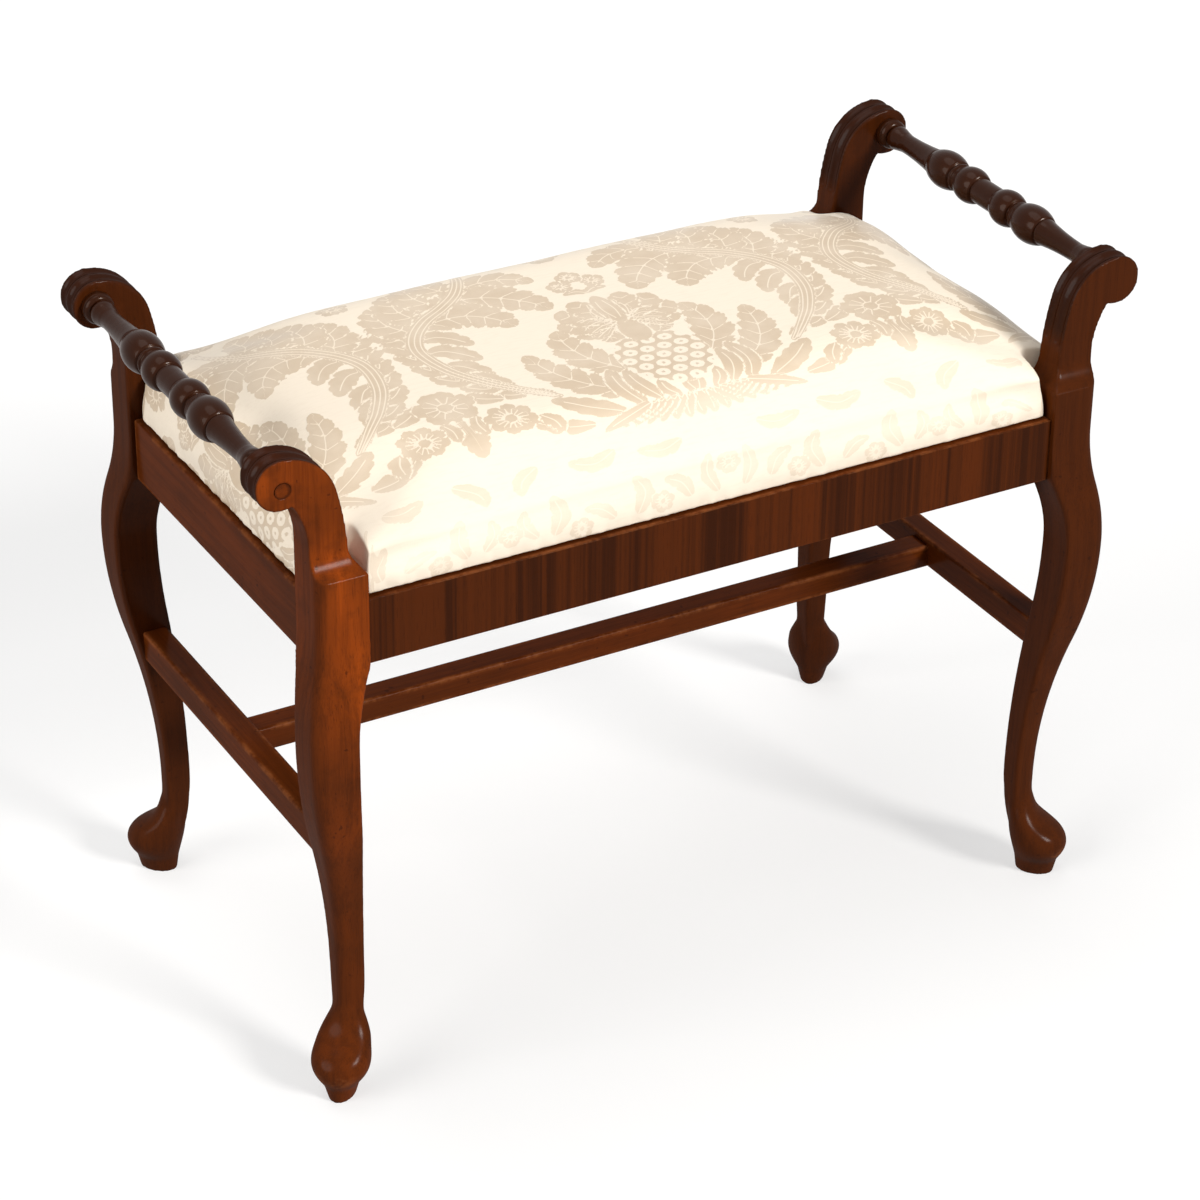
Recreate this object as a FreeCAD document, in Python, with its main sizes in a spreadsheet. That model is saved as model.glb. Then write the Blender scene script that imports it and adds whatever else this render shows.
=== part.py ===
import FreeCAD, Part
import math
import os
import re
from FreeCAD import Placement, Rotation, Vector

# A stool-height bench with four scroll-topped cabriole legs, two turned side handles, an H-stretcher
# and a loose padded seat. Millimetres, +Z up, +X along the length, -Y to the front, origin on the floor
# under the middle.

SIZES = {
    # the frame: outer faces of the leg blocks, and the rails between them
    "frame_length": 705,
    "frame_depth": 399,
    "block_size": 42,
    "crease_height": 480,
    "rail_bottom": 400,
    "rail_top": 455,
    "rail_thickness": 20,
    "rail_setback": 4.5,
    "veneer_thickness": 1,
    "dowel_diameter": 9.5,
    "dowel_length": 40,
    "dowel_low": 14,
    "dowel_high": 41,
    "corner_block_leg": 70,
    "corner_block_bottom": 412,
    "corner_block_top": 450,
    # the sawn leg: distances from the outer face of its block, outward positive
    "knee_start": 440,
    "knee_share": 0.5,
    "knee_height": 335,
    "knee_out": 12,
    "knee_back": 26.5,
    "ankle_height": 95,
    "ankle_in": 17.4,
    "ankle_back": 39.5,
    "shin_share": 0.4,
    "calf_share": 0.68,
    "arris_radius": 10,
    "eased_radius": 3,
    "heel_back": 33.4,
    "heel_height": 42,
    # the carved foot, in ovals from the floor up: height, distance in from the block's faces, length outward, width
    "sole_height": 0,
    "sole_in": 15,
    "sole_length": 32.6,
    "sole_width": 21,
    "undercut_height": 14,
    "undercut_in": 14.6,
    "undercut_length": 37.6,
    "undercut_width": 29,
    "swell_height": 22,
    "swell_in": 13.7,
    "swell_length": 44,
    "swell_width": 40,
    "lip_height": 32,
    "lip_in": 13.7,
    "lip_length": 49,
    "lip_width": 48,
    "slope_height": 43.5,
    "slope_in": 16.7,
    "slope_length": 45,
    "slope_width": 46.6,
    "throat_height": 53.4,
    "throat_in": 21.8,
    "throat_length": 31.6,
    "throat_width": 42,
    "instep_height": 62,
    "instep_in": 24.8,
    "instep_length": 25,
    "instep_width": 35,
    "shank_height": 80,
    "shank_in": 27.6,
    "shank_length": 19.6,
    "shank_width": 21,
    # the scrolled post above the block
    "cove_depth": 13.5,
    "cove_rise": 21,
    "flare_rise": 20,
    "volute_out": 20.5,
    "volute_height": 563,
    "volute_radius": 20.8,
    "crown_radius": 46,
    "crown_turn": 75,
    "sweep_radius": 250,
    "hollow_radius": 75,
    "hollow_start": 503,
    "flute_radius": 6.5,
    "flute_depth": 2.2,
    "flute_spacing": 13.2,
    "flute_end_height": 517,
    "flute_start_angle": -70,
    # the H-stretcher
    "stretcher_inset": 6,
    "stretcher_width": 21.5,
    "stretcher_top": 248,
    "stretcher_height": 26,
    "centre_width": 24,
    "centre_height": 21,
    "centre_bottom": 222,
    "tenon_length": 12,
    "tenon_shoulder": 4,
    "shoulder_in": 28,
    "tenon_in": 21,
    # the turned handles
    "handle_out": 22,
    "handle_height": 563,
    "waist_radius": 11.4,
    "bead_place": 27,
    "bead_length": 26,
    "bead_radius": 15.7,
    "ring_radius": 12.6,
    "ring_length": 3.5,
    "groove_radius": 11.6,
    "groove_length": 3,
    "vase_radius": 16.5,
    "vase_length": 34,
    "vase_tail": 12.2,
    "neck_radius": 8.5,
    "neck_place": 124,
    "end_ring_place": 140,
    "end_ring_radius": 10.6,
    "collar_length": 11,
    "collar_radius": 13,
    "handle_tenon_radius": 6.5,
    "handle_tenon_length": 14,
    "plug_radius": 6.4,
    "plug_depth": 5,
    "plug_out": 19.5,
    "plug_height": 559,
    # the loose seat
    "seat_length": 690,
    "seat_depth": 381,
    "seat_gap": 2.5,
    "cover_thickness": 1.2,
    "board_thickness": 12,
    "board_inset": 6,
    "crown_height": 529,
    "crown_sag_length": 14,
    "crown_sag_depth": 10,
    "seat_tuck": 4,
    "seat_widest": 473,
    "seat_corner": 14,
    "notch_corner": 5,
    "seat_shoulder": 13,
    "turned_under": 27,
    "tack_count_long": 9,
    "tack_count_short": 5,
    "tack_radius": 3.5,
    "tack_height": 1,
    "tack_pin_radius": 0.9,
    "tack_pin_length": 8,
    "tack_inset": 21,
}

doc = FreeCAD.newDocument("bench")
sheet = doc.addObject("Spreadsheet::Sheet", "Sizes")
for row, (alias, value) in enumerate(SIZES.items(), 1):
    sheet.set(f"A{row}", alias)
    sheet.set(f"B{row}", str(value))
    sheet.setAlias(f"B{row}", alias)
doc.recompute()


def size(alias):
    return float(sheet.get(alias))


def bind(item, bindings):
    """Bind properties to formulas in which every plain word is a cell of the sheet."""
    for target, formula in bindings.items():
        item.setExpression(target, re.sub(r"\b[a-z_]{3,}\b", r"Sizes.\g<0>", formula))


def box(name, length, width, height, x, y, z):
    item = doc.addObject("Part::Box", name)
    bind(item, {"Length": length, "Width": width, "Height": height})
    bind(item, {"Placement.Base.x": x, "Placement.Base.y": y, "Placement.Base.z": z})
    return item


def rod(name, radius, height, x, y, z, rotation=Rotation()):
    item = doc.addObject("Part::Cylinder", name)
    item.Placement = Placement(Vector(), rotation)
    bind(item, {"Radius": radius, "Height": height})
    bind(item, {"Placement.Base.x": x, "Placement.Base.y": y, "Placement.Base.z": z})
    return item


def cut(name, base, *tools):
    tool = tools[0] if len(tools) == 1 else fuse(name + "_tools", *tools)
    item = doc.addObject("Part::Cut", name)
    item.Base = base
    item.Tool = tool
    return item


def fuse(name, *shapes):
    item = doc.addObject("Part::MultiFuse", name)
    item.Shapes = list(shapes)
    return item


def common(name, *shapes):
    item = doc.addObject("Part::MultiCommon", name)
    item.Shapes = list(shapes)
    return item


def group(name, *shapes):
    item = doc.addObject("Part::Compound", name)
    item.Links = list(shapes)
    return item


def mirror(name, source, normal):
    item = doc.addObject("Part::Mirroring", name)
    item.Source = source
    item.Normal = normal
    return item


class Outline:
    """A chain of lines and arcs in a plane, drawn as a sketch."""

    def __init__(self, x, y):
        self.first = self.last = Vector(x, y)
        self.pieces = []

    def line(self, x, y):
        end = Vector(x, y)
        self.pieces.append(Part.LineSegment(self.last, end))
        self.last = end

    def arc(self, x, y, centre_x, centre_y):
        """The shorter arc about the given centre."""
        end = Vector(x, y)
        centre = Vector(centre_x, centre_y)
        half = ((self.last - centre) + (end - centre)).normalize()
        middle = centre + half * (end - centre).Length
        self.pieces.append(Part.Arc(self.last, middle, end))
        self.last = end

    def fillet_arc(self, x, y, tangent_x):
        """An arc to a point where it runs upright, bulging towards the side of tangent_x."""
        run = x - self.last.x
        rise = y - self.last.y
        radius = (run * run + rise * rise) / (2 * abs(run))
        self.arc(x, y, x + tangent_x * radius, y)

    def ogee(self, x, y, share):
        """Two arcs in an S, upright at both ends; share is the first one's part of the two radii."""
        run = x - self.last.x
        rise = y - self.last.y
        turn = 2 * math.atan2(abs(run), abs(rise))
        radii = abs(rise) / math.sin(turn)
        side = math.copysign(1, run)
        first = radii * share
        second = radii - first
        start = self.last
        bend_x = start.x + side * first * (1 - math.cos(turn))
        bend_y = start.y + math.copysign(first * math.sin(turn), rise)
        self.arc(bend_x, bend_y, start.x + side * first, start.y)
        self.arc(x, y, x - side * second, y)

    def close(self):
        self.line(self.first.x, self.first.y)

    def sketch(self, name, placement=Placement()):
        item = doc.addObject("Sketcher::SketchObject", name)
        item.addGeometry(self.pieces, False)
        item.Placement = placement
        return item


def extrude(name, profile, direction, forward, backward="0"):
    item = doc.addObject("Part::Extrusion", name)
    item.Base = profile
    item.DirMode = "Custom"
    item.Dir = direction
    item.Solid = True
    bind(item, {"LengthFwd": forward, "LengthRev": backward})
    return item


def revolve(name, profile, axis, base, angle=360):
    item = doc.addObject("Part::Revolution", name)
    item.Source = profile
    item.Axis = axis
    item.Base = base
    item.Angle = angle
    item.Solid = True
    return item


UPRIGHT_ALONG_X = Placement(Vector(), Rotation(Vector(1, 0, 0), 90))
UPRIGHT_ALONG_Y = Placement(Vector(), Rotation(Vector(0, 0, 1), 90) * Rotation(Vector(1, 0, 0), 90))
ALONG_X = Rotation(Vector(0, 1, 0), 90)
ALONG_Y = Rotation(Vector(1, 0, 0), -90)

HALF_LENGTH = size("frame_length") / 2
HALF_DEPTH = size("frame_depth") / 2
BLOCK = size("block_size")
CREASE = size("crease_height")


# The leg's patterns are drawn in planes of their own: first coordinate outward from the block's outer face,
# second upward.

def leg_pattern():
    """Front curve from the crease down over knee and ankle into the foot, then up the back to the crease."""
    pattern = Outline(0, CREASE)
    pattern.line(0, size("knee_start"))
    pattern.ogee(size("knee_out"), size("knee_height"), size("knee_share"))
    pattern.ogee(-size("ankle_in"), size("ankle_height"), size("shin_share"))
    pattern.line(-size("ankle_in"), size("heel_height"))
    pattern.line(-size("heel_back"), size("heel_height"))
    pattern.fillet_arc(-size("ankle_back"), size("ankle_height"), 1)
    pattern.ogee(-size("knee_back"), size("knee_height"), size("calf_share"))
    run = BLOCK - size("knee_back")
    rise = size("rail_bottom") - size("knee_height")
    radius = (run * run + rise * rise) / (2 * run)
    pattern.arc(-BLOCK, size("rail_bottom"), -size("knee_back") - radius, size("knee_height"))
    pattern.line(-BLOCK, CREASE)
    return pattern


def scroll_points():
    """Centres and joints of the arcs that make the scroll."""
    volute = Vector(size("volute_out"), size("volute_height"))
    crown = volute - Vector(0, size("crown_radius") - size("volute_radius"))
    turn = math.radians(90 + size("crown_turn"))
    outward = Vector(math.cos(turn), math.sin(turn))
    joint = crown + outward * size("crown_radius")
    sweep = joint - outward * size("sweep_radius")
    return volute, crown, sweep, joint


def sweep_x(height, offset=0.0):
    """The inner edge of the post at a height, moved towards the seat by offset."""
    sweep = scroll_points()[2]
    return sweep.x - math.sqrt((size("sweep_radius") + offset) ** 2 - (height - sweep.y) ** 2)


def scroll_pattern():
    """The leg pattern carried on over the flare, the inner sweep, the crown, the volute and the hollow."""
    pattern = leg_pattern()
    volute, crown, sweep, joint = scroll_points()
    radius = size("volute_radius")
    neck = CREASE + size("flare_rise")
    neck_x = sweep_x(neck)
    pattern.fillet_arc(neck_x, neck, -1)
    pattern.arc(joint.x, joint.y, sweep.x, sweep.y)
    pattern.arc(volute.x, volute.y + radius, crown.x, crown.y)
    pattern.arc(volute.x + radius, volute.y, volute.x, volute.y)
    hollow = Vector(size("hollow_radius"), size("hollow_start"))
    apart = hollow - volute
    along = (radius ** 2 - size("hollow_radius") ** 2 + apart.Length ** 2) / (2 * apart.Length)
    across = math.sqrt(radius ** 2 - along ** 2)
    unit = Vector(apart).normalize()
    notch = volute + unit * along + Vector(unit.y, -unit.x) * across
    pattern.arc(volute.x, volute.y - radius, volute.x, volute.y)
    pattern.arc(notch.x, notch.y, volute.x, volute.y)
    pattern.arc(0, hollow.y, hollow.x, hollow.y)
    pattern.close()
    return pattern


def cove_pattern():
    """The leg pattern carried on as a straight post, coved back above the crease on its outer side."""
    top = size("volute_height") + size("crown_radius")
    pattern = leg_pattern()
    pattern.line(-BLOCK, top)
    pattern.line(-size("cove_depth"), top)
    pattern.line(-size("cove_depth"), CREASE + size("cove_rise"))
    run = size("cove_depth")
    rise = size("cove_rise")
    radius = (run * run + rise * rise) / (2 * run)
    pattern.arc(0, CREASE, radius - run, CREASE + rise)
    return pattern


def flute(name, across):
    """A round-bottomed groove with ball ends that follows the edge of the scroll."""
    volute, crown, sweep, joint = scroll_points()
    offset = size("flute_radius") - size("flute_depth")
    low = size("flute_end_height")
    path = Outline(sweep_x(low, offset), low)
    outward = (joint - crown).normalize()
    turn = joint + outward * offset
    path.arc(turn.x, turn.y, sweep.x, sweep.y)
    path.arc(volute.x, volute.y + size("volute_radius") + offset, crown.x, crown.y)
    path.arc(volute.x + size("volute_radius") + offset, volute.y, volute.x, volute.y)
    last = math.radians(size("flute_start_angle"))
    reach = size("volute_radius") + offset
    path.arc(volute.x + reach * math.cos(last), volute.y + reach * math.sin(last), volute.x, volute.y)
    y = HALF_DEPTH - BLOCK + (BLOCK - size("cove_depth")) / 2 + across
    start = Vector(HALF_LENGTH + path.first.x, y, path.first.y)
    end = Vector(HALF_LENGTH + path.last.x, y, path.last.y)
    spine = path.sketch(name + "_path", Placement(Vector(HALF_LENGTH, y, 0), UPRIGHT_ALONG_X.Rotation))
    ring = doc.addObject("Part::Circle", name + "_section")
    bind(ring, {"Radius": "flute_radius"})
    tangent = Vector(low - sweep.y, 0, -(path.first.x - sweep.x))
    ring.Placement = Placement(start, Rotation(Vector(0, 0, 1), tangent))
    groove = doc.addObject("Part::Sweep", name + "_groove")
    groove.Sections = [ring]
    groove.Spine = (spine, [f"Edge{n + 1}" for n in range(len(path.pieces))])
    groove.Solid = True
    tips = []
    for side, place in (("low", start), ("high", end)):
        tip = doc.addObject("Part::Sphere", f"{name}_{side}_tip")
        bind(tip, {"Radius": "flute_radius"})
        tip.Placement = Placement(place, Rotation())
        tips.append(tip)
    return [groove] + tips


FOOT_LEVELS = ("sole", "undercut", "swell", "lip", "slope", "throat", "instep", "shank")


def foot_oval(name, level):
    """One level of the foot, as four quarter arcs from the toe round."""
    toe = Vector(size(level + "_length") / 2, 0)
    side = Vector(0, size(level + "_width") / 2)
    outward = toe.x >= side.y
    ring = Part.Ellipse(toe, side, Vector()) if outward else Part.Ellipse(side, -toe, Vector())
    first = 0 if outward else 3
    quarter = math.pi / 2
    arcs = [Part.ArcOfEllipse(ring, n * quarter, (n + 1) * quarter) for n in range(first, first + 4)]
    item = doc.addObject("Sketcher::SketchObject", f"{name}_{level}")
    item.addGeometry(arcs, False)
    inward = size(level + "_in")
    place = Vector(HALF_LENGTH - inward, HALF_DEPTH - inward, size(level + "_height"))
    item.Placement = Placement(place, Rotation(Vector(0, 0, 1), 45))
    return item


def carved_foot(name):
    """The foot's straight-sided base, and on it the swell from the undercut over lip and slope into the ankle."""
    ovals = [foot_oval(name, level) for level in FOOT_LEVELS]
    base = doc.addObject("Part::Loft", name + "_base")
    base.Sections = ovals[:2]
    base.Ruled = True
    base.Solid = True
    swell = doc.addObject("Part::Loft", name + "_swell")
    swell.Sections = ovals[1:]
    swell.Solid = True
    return fuse(name, base, swell)


def rounded_arris(name, blank):
    """The outward corner of the sawn leg, rounded from the crease to the foot, and its other corners eased."""
    doc.recompute()
    edges = []
    for number, edge in enumerate(blank.Shape.Edges, 1):
        middle = edge.CenterOfMass
        x = middle.x - HALF_LENGTH
        y = middle.y - HALF_DEPTH
        upright = edge.BoundBox.ZLength > BLOCK / 8
        on_diagonal = abs(x - y) < 0.1
        outward = on_diagonal and x > -size("ankle_in") - size("eased_radius")
        if upright and outward and middle.z < CREASE:
            edges.append((number, size("arris_radius"), size("arris_radius")))
        elif upright and middle.z < size("rail_bottom"):
            edges.append((number, size("eased_radius"), size("eased_radius")))
    item = doc.addObject("Part::Fillet", name)
    item.Base = blank
    item.Edges = edges
    return item


def sawn_leg():
    """One leg in a single piece: foot, cabriole, block, coved post and fluted scroll."""
    corner = Vector(HALF_LENGTH, HALF_DEPTH, 0)
    side = scroll_pattern().sketch("leg_side", Placement(corner, UPRIGHT_ALONG_X.Rotation))
    front = cove_pattern().sketch("leg_front", Placement(corner, UPRIGHT_ALONG_Y.Rotation))
    reach = "volute_out + volute_radius + knee_out"
    blank = common(
        "leg_blank",
        extrude("leg_side_cut", side, Vector(0, -1, 0), "block_size + knee_out", "2 * knee_out"),
        extrude("leg_front_cut", front, Vector(-1, 0, 0), "block_size + knee_out", reach),
    )
    rounded = rounded_arris("leg_rounded", blank)
    whole = fuse("leg_whole", rounded, carved_foot("foot"))
    step = size("flute_spacing") / 2
    grooves = flute("inner_flute", -step) + flute("outer_flute", step)
    return cut("leg_fluted", whole, *grooves)


def corner_dowels(name):
    """Two dowels across each of the two rail joints of the rear right leg."""
    half = "dowel_diameter / 2"
    across = "frame_depth / 2 - rail_setback - veneer_thickness - rail_thickness / 2"
    along = "frame_length / 2 - rail_setback - rail_thickness / 2"
    pins = []
    for place in ("dowel_low", "dowel_high"):
        z = "rail_bottom + " + place
        x = "frame_length / 2 - block_size - dowel_length / 2"
        y = "frame_depth / 2 - block_size - dowel_length / 2"
        pins.append(rod(f"{name}_{place}_x", half, "dowel_length", x, across, z, ALONG_X))
        pins.append(rod(f"{name}_{place}_y", half, "dowel_length", along, y, z, ALONG_Y))
    return group(name, *pins)


def stretcher_tenon(name):
    """The side stretcher's tenons, drawn as one bar through its length."""
    return box(
        name,
        "stretcher_width - 2 * tenon_shoulder",
        "frame_depth - 2 * tenon_in",
        "stretcher_height - 2 * tenon_shoulder",
        "frame_length / 2 - stretcher_inset - stretcher_width + tenon_shoulder",
        "tenon_in - frame_depth / 2",
        "stretcher_top - stretcher_height + tenon_shoulder",
    )


def handle_profile():
    """Half of the turning, from its waist to the tenon: radius first, then distance from the middle."""
    bead_start = size("bead_place") - size("bead_length") / 2
    bead_end = size("bead_place") + size("bead_length") / 2
    ring = size("ring_radius")
    groove = size("groove_radius")
    profile = Outline(0, 0)
    profile.line(size("waist_radius"), 0)
    profile.line(groove, bead_start)
    rise = size("bead_radius") - groove
    bead_arc = (rise ** 2 + (size("bead_length") / 2) ** 2) / (2 * rise)
    profile.arc(groove, bead_end, size("bead_radius") - bead_arc, size("bead_place"))
    groove_end = bead_end + size("groove_length")
    ring_end = groove_end + size("ring_length")
    profile.line(groove, groove_end)
    profile.line(ring, groove_end)
    profile.line(ring, ring_end)
    vase_middle = ring_end + size("vase_length") / 2
    vase_end = ring_end + size("vase_length")
    rise = size("vase_radius") - size("vase_tail")
    vase_arc = (rise ** 2 + (size("vase_length") / 2) ** 2) / (2 * rise)
    profile.line(size("vase_tail"), ring_end)
    profile.arc(size("vase_tail"), vase_end, size("vase_radius") - vase_arc, vase_middle)
    profile.fillet_arc(size("neck_radius"), size("neck_place"), 1)
    end_ring = size("end_ring_place")
    run = size("end_ring_radius") - size("neck_radius")
    rise = end_ring - size("neck_place")
    radius = (run * run + rise * rise) / (2 * run)
    profile.arc(size("end_ring_radius"), end_ring, size("neck_radius") + radius, size("neck_place"))
    post = HALF_DEPTH - BLOCK
    collar = post - size("collar_length")
    profile.line(size("end_ring_radius"), end_ring + size("ring_length"))
    profile.line(size("neck_radius"), collar)
    reach = size("collar_radius") - size("neck_radius")
    profile.arc(size("collar_radius"), collar + reach, size("neck_radius"), collar + reach)
    profile.line(size("collar_radius"), post)
    profile.line(size("handle_tenon_radius"), post)
    profile.line(size("handle_tenon_radius"), post + size("handle_tenon_length"))
    profile.line(0, post + size("handle_tenon_length"))
    profile.close()
    return profile


def turned_handle(name):
    place = Vector(HALF_LENGTH + size("handle_out"), 0, size("handle_height"))
    sketch = handle_profile().sketch(name + "_profile", Placement(place, Rotation()))
    half = revolve(name + "_half", sketch, Vector(0, 1, 0), place)
    return fuse(name, half, mirror(name + "_other_half", half, Vector(0, 1, 0)))


def corner_block(name):
    """A glue block in the corner of the rails, notched round the leg."""
    rail_x = HALF_LENGTH - size("rail_setback") - size("rail_thickness")
    rail_y = HALF_DEPTH - size("rail_setback") - size("veneer_thickness") - size("rail_thickness")
    leg_x = HALF_LENGTH - BLOCK
    leg_y = HALF_DEPTH - BLOCK
    shape = Outline(leg_x, rail_y)
    shape.line(leg_x - size("corner_block_leg"), rail_y)
    shape.line(rail_x, leg_y - size("corner_block_leg"))
    shape.line(rail_x, leg_y)
    shape.line(leg_x, leg_y)
    shape.close()
    plan = shape.sketch(name + "_plan", Placement(Vector(0, 0, size("corner_block_bottom")), Rotation()))
    return extrude(name, plan, Vector(0, 0, 1), "corner_block_top - corner_block_bottom")


def seat_plan(name, inset, height):
    """The seat's outline with rounded corners, notched round the four posts, moved inward by inset."""
    end = size("seat_length") / 2 - inset
    side = size("seat_depth") / 2 - inset
    notch_x = HALF_LENGTH - BLOCK - size("seat_gap") - inset
    notch_y = HALF_DEPTH - BLOCK - size("seat_gap") - inset
    outer = size("seat_corner")
    corners = []
    for sign_x, sign_y in ((1, 1), (-1, 1), (-1, -1), (1, -1)):
        tips = [(end, notch_y, outer), (notch_x, notch_y, size("notch_corner")), (notch_x, side, outer)]
        if sign_x != sign_y:
            tips.reverse()
        corners += [(Vector(sign_x * x, sign_y * y), radius) for x, y, radius in tips]
    plan = None
    for number, (tip, radius) in enumerate(corners):
        back = (corners[number - 1][0] - tip).normalize() * radius
        ahead = (corners[(number + 1) % len(corners)][0] - tip).normalize() * radius
        start = tip + back
        if plan is None:
            plan = Outline(start.x, start.y)
        else:
            plan.line(start.x, start.y)
        centre = start + ahead
        plan.arc((tip + ahead).x, (tip + ahead).y, centre.x, centre.y)
    plan.close()
    return plan.sketch(name, Placement(Vector(0, 0, height), Rotation()))


def crown_solid(name, inset):
    """Everything below the seat's crowned top: an arc across the depth, swung along the length."""
    top = size("crown_height") - inset
    side = size("seat_depth") / 2
    across = (side ** 2 + size("crown_sag_depth") ** 2) / (2 * size("crown_sag_depth"))
    end = size("seat_length") / 2
    along = (end ** 2 + size("crown_sag_length") ** 2) / (2 * size("crown_sag_length"))
    floor = size("rail_bottom")
    edge = top - across + math.sqrt(across ** 2 - HALF_DEPTH ** 2)
    profile = Outline(-HALF_DEPTH, floor)
    profile.line(HALF_DEPTH, floor)
    profile.line(HALF_DEPTH, edge)
    profile.arc(-HALF_DEPTH, edge, 0, top - across)
    profile.close()
    swing = math.degrees(math.asin((end + BLOCK) / along))
    section = profile.sketch(name + "_section", UPRIGHT_ALONG_Y)
    solid = revolve(name, section, Vector(0, 1, 0), Vector(0, 0, top - along), 2 * swing)
    solid.Symmetric = True
    return solid


def cushion(name, inset, bottom):
    """A crowned cushion whose sides swell to the middle and draw in at the bottom and the top."""
    tuck = size("seat_tuck")
    widest = size("seat_widest")
    top = size("crown_height") + tuck
    levels = [(tuck, bottom), (0, widest), (tuck / 4, (3 * widest + top) / 4), (tuck, top)]
    plans = [seat_plan(f"{name}_plan_{n}", inset + extra, z) for n, (extra, z) in enumerate(levels)]
    sides = doc.addObject("Part::Loft", name + "_sides")
    sides.Sections = plans
    sides.Solid = True
    body = common(name + "_body", sides, crown_solid(name + "_crown", inset))
    doc.recompute()
    limit = size("seat_widest")
    radius = size("seat_shoulder") - inset
    rim = []
    for number, edge in enumerate(body.Shape.Edges, 1):
        if edge.BoundBox.ZMin > limit and edge.BoundBox.ZLength < size("crown_sag_length"):
            rim.append((number, radius, radius))
    soft = doc.addObject("Part::Fillet", name)
    soft.Base = body
    soft.Edges = rim
    return soft


def tack_places():
    """Rows of tacks along the four edges of the seat's underside, between the notches."""
    end = size("seat_length") / 2 - size("tack_inset")
    side = size("seat_depth") / 2 - size("tack_inset")
    row_x = HALF_LENGTH - BLOCK - size("tack_inset") - size("seat_corner")
    row_y = HALF_DEPTH - BLOCK - size("tack_inset") - size("seat_corner")
    places = []
    for sign in (-1, 1):
        count = int(size("tack_count_long"))
        places += [Vector(row_x * (2 * n / (count - 1) - 1), sign * side) for n in range(count)]
        count = int(size("tack_count_short"))
        places += [Vector(sign * end, row_y * (2 * n / (count - 1) - 1)) for n in range(count)]
    return places


def seat_tacks(name):
    """Flat-headed tacks that hold the turned-under cover to the board."""
    head = rod("tack_head", "tack_radius", "tack_height", "0", "0", "rail_top - tack_height")
    shank = rod("tack_pin", "tack_pin_radius", "tack_pin_length", "0", "0", "rail_top")
    tack = fuse("tack", head, shank)
    doc.recompute()
    item = doc.addObject("Part::Feature", name)
    item.Shape = Part.makeCompound([tack.Shape.Solids[0].translated(place) for place in tack_places()])
    return item


def mirrored(source, names):
    """The like pieces of all four corners, from the rear right one."""
    rear_left = mirror(names.format("rear_left"), source, Vector(1, 0, 0))
    front_right = mirror(names.format("front_right"), source, Vector(0, 1, 0))
    front_left = mirror(names.format("front_left"), front_right, Vector(1, 0, 0))
    return {"rear_right": source, "rear_left": rear_left, "front_right": front_right, "front_left": front_left}


NODES = []


def node(item, label):
    """Name one finished piece."""
    item.Label = label
    NODES.append(item)
    return item


# The legs with their mortises, and the plug in the face of the front left scroll
leg_blank = sawn_leg()
side_tenon = stretcher_tenon("side_tenon")
dowels = mirrored(corner_dowels("rear_right_dowels"), "{}_dowels")
handle_mortise = rod(
    "handle_mortise",
    "handle_tenon_radius",
    "handle_tenon_length",
    "frame_length / 2 + handle_out",
    "frame_depth / 2 - block_size",
    "handle_height",
    ALONG_Y,
)
mortised = cut("rear_right_mortised", leg_blank, dowels["rear_right"], side_tenon, handle_mortise)
legs = mirrored(mortised, "{}_mortised")
plug = rod(
    "plug",
    "plug_radius",
    "plug_depth",
    "-frame_length / 2 - plug_out",
    "cove_depth - frame_depth / 2",
    "plug_height",
    ALONG_Y,
)
legs["front_left"] = cut("front_left_plugged", legs["front_left"], plug)
for corner, leg in legs.items():
    node(leg, f"{corner}_leg")
node(plug, "front_left_plug")

# Rails: the long ones are veneered on their outer faces
rear_blank = box(
    "rear_rail_blank",
    "frame_length - 2 * block_size",
    "rail_thickness",
    "rail_top - rail_bottom",
    "block_size - frame_length / 2",
    "frame_depth / 2 - rail_setback - veneer_thickness - rail_thickness",
    "rail_bottom",
)
rear_rail = cut("rear_rail", rear_blank, dowels["rear_right"], dowels["rear_left"])
rear_veneer = box(
    "rear_rail_veneer",
    "frame_length - 2 * block_size",
    "veneer_thickness",
    "rail_top - rail_bottom",
    "block_size - frame_length / 2",
    "frame_depth / 2 - rail_setback - veneer_thickness",
    "rail_bottom",
)
side_blank = box(
    "right_side_rail_blank",
    "rail_thickness",
    "frame_depth - 2 * block_size",
    "rail_top - rail_bottom",
    "frame_length / 2 - rail_setback - rail_thickness",
    "block_size - frame_depth / 2",
    "rail_bottom",
)
right_rail = cut("right_side_rail", side_blank, dowels["rear_right"], dowels["front_right"])
node(rear_rail, "rear_rail")
node(rear_veneer, "rear_rail_veneer")
node(right_rail, "right_side_rail")
node(mirror("front_rail", rear_rail, Vector(0, 1, 0)), "front_rail")
node(mirror("front_rail_veneer", rear_veneer, Vector(0, 1, 0)), "front_rail_veneer")
node(mirror("left_side_rail", right_rail, Vector(1, 0, 0)), "left_side_rail")
node(group("rail_dowels", *dowels.values()), "rail_dowels")
for corner, block in mirrored(corner_block("rear_right_corner_block"), "{}_corner_block").items():
    node(block, f"{corner}_corner_block")

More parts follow.
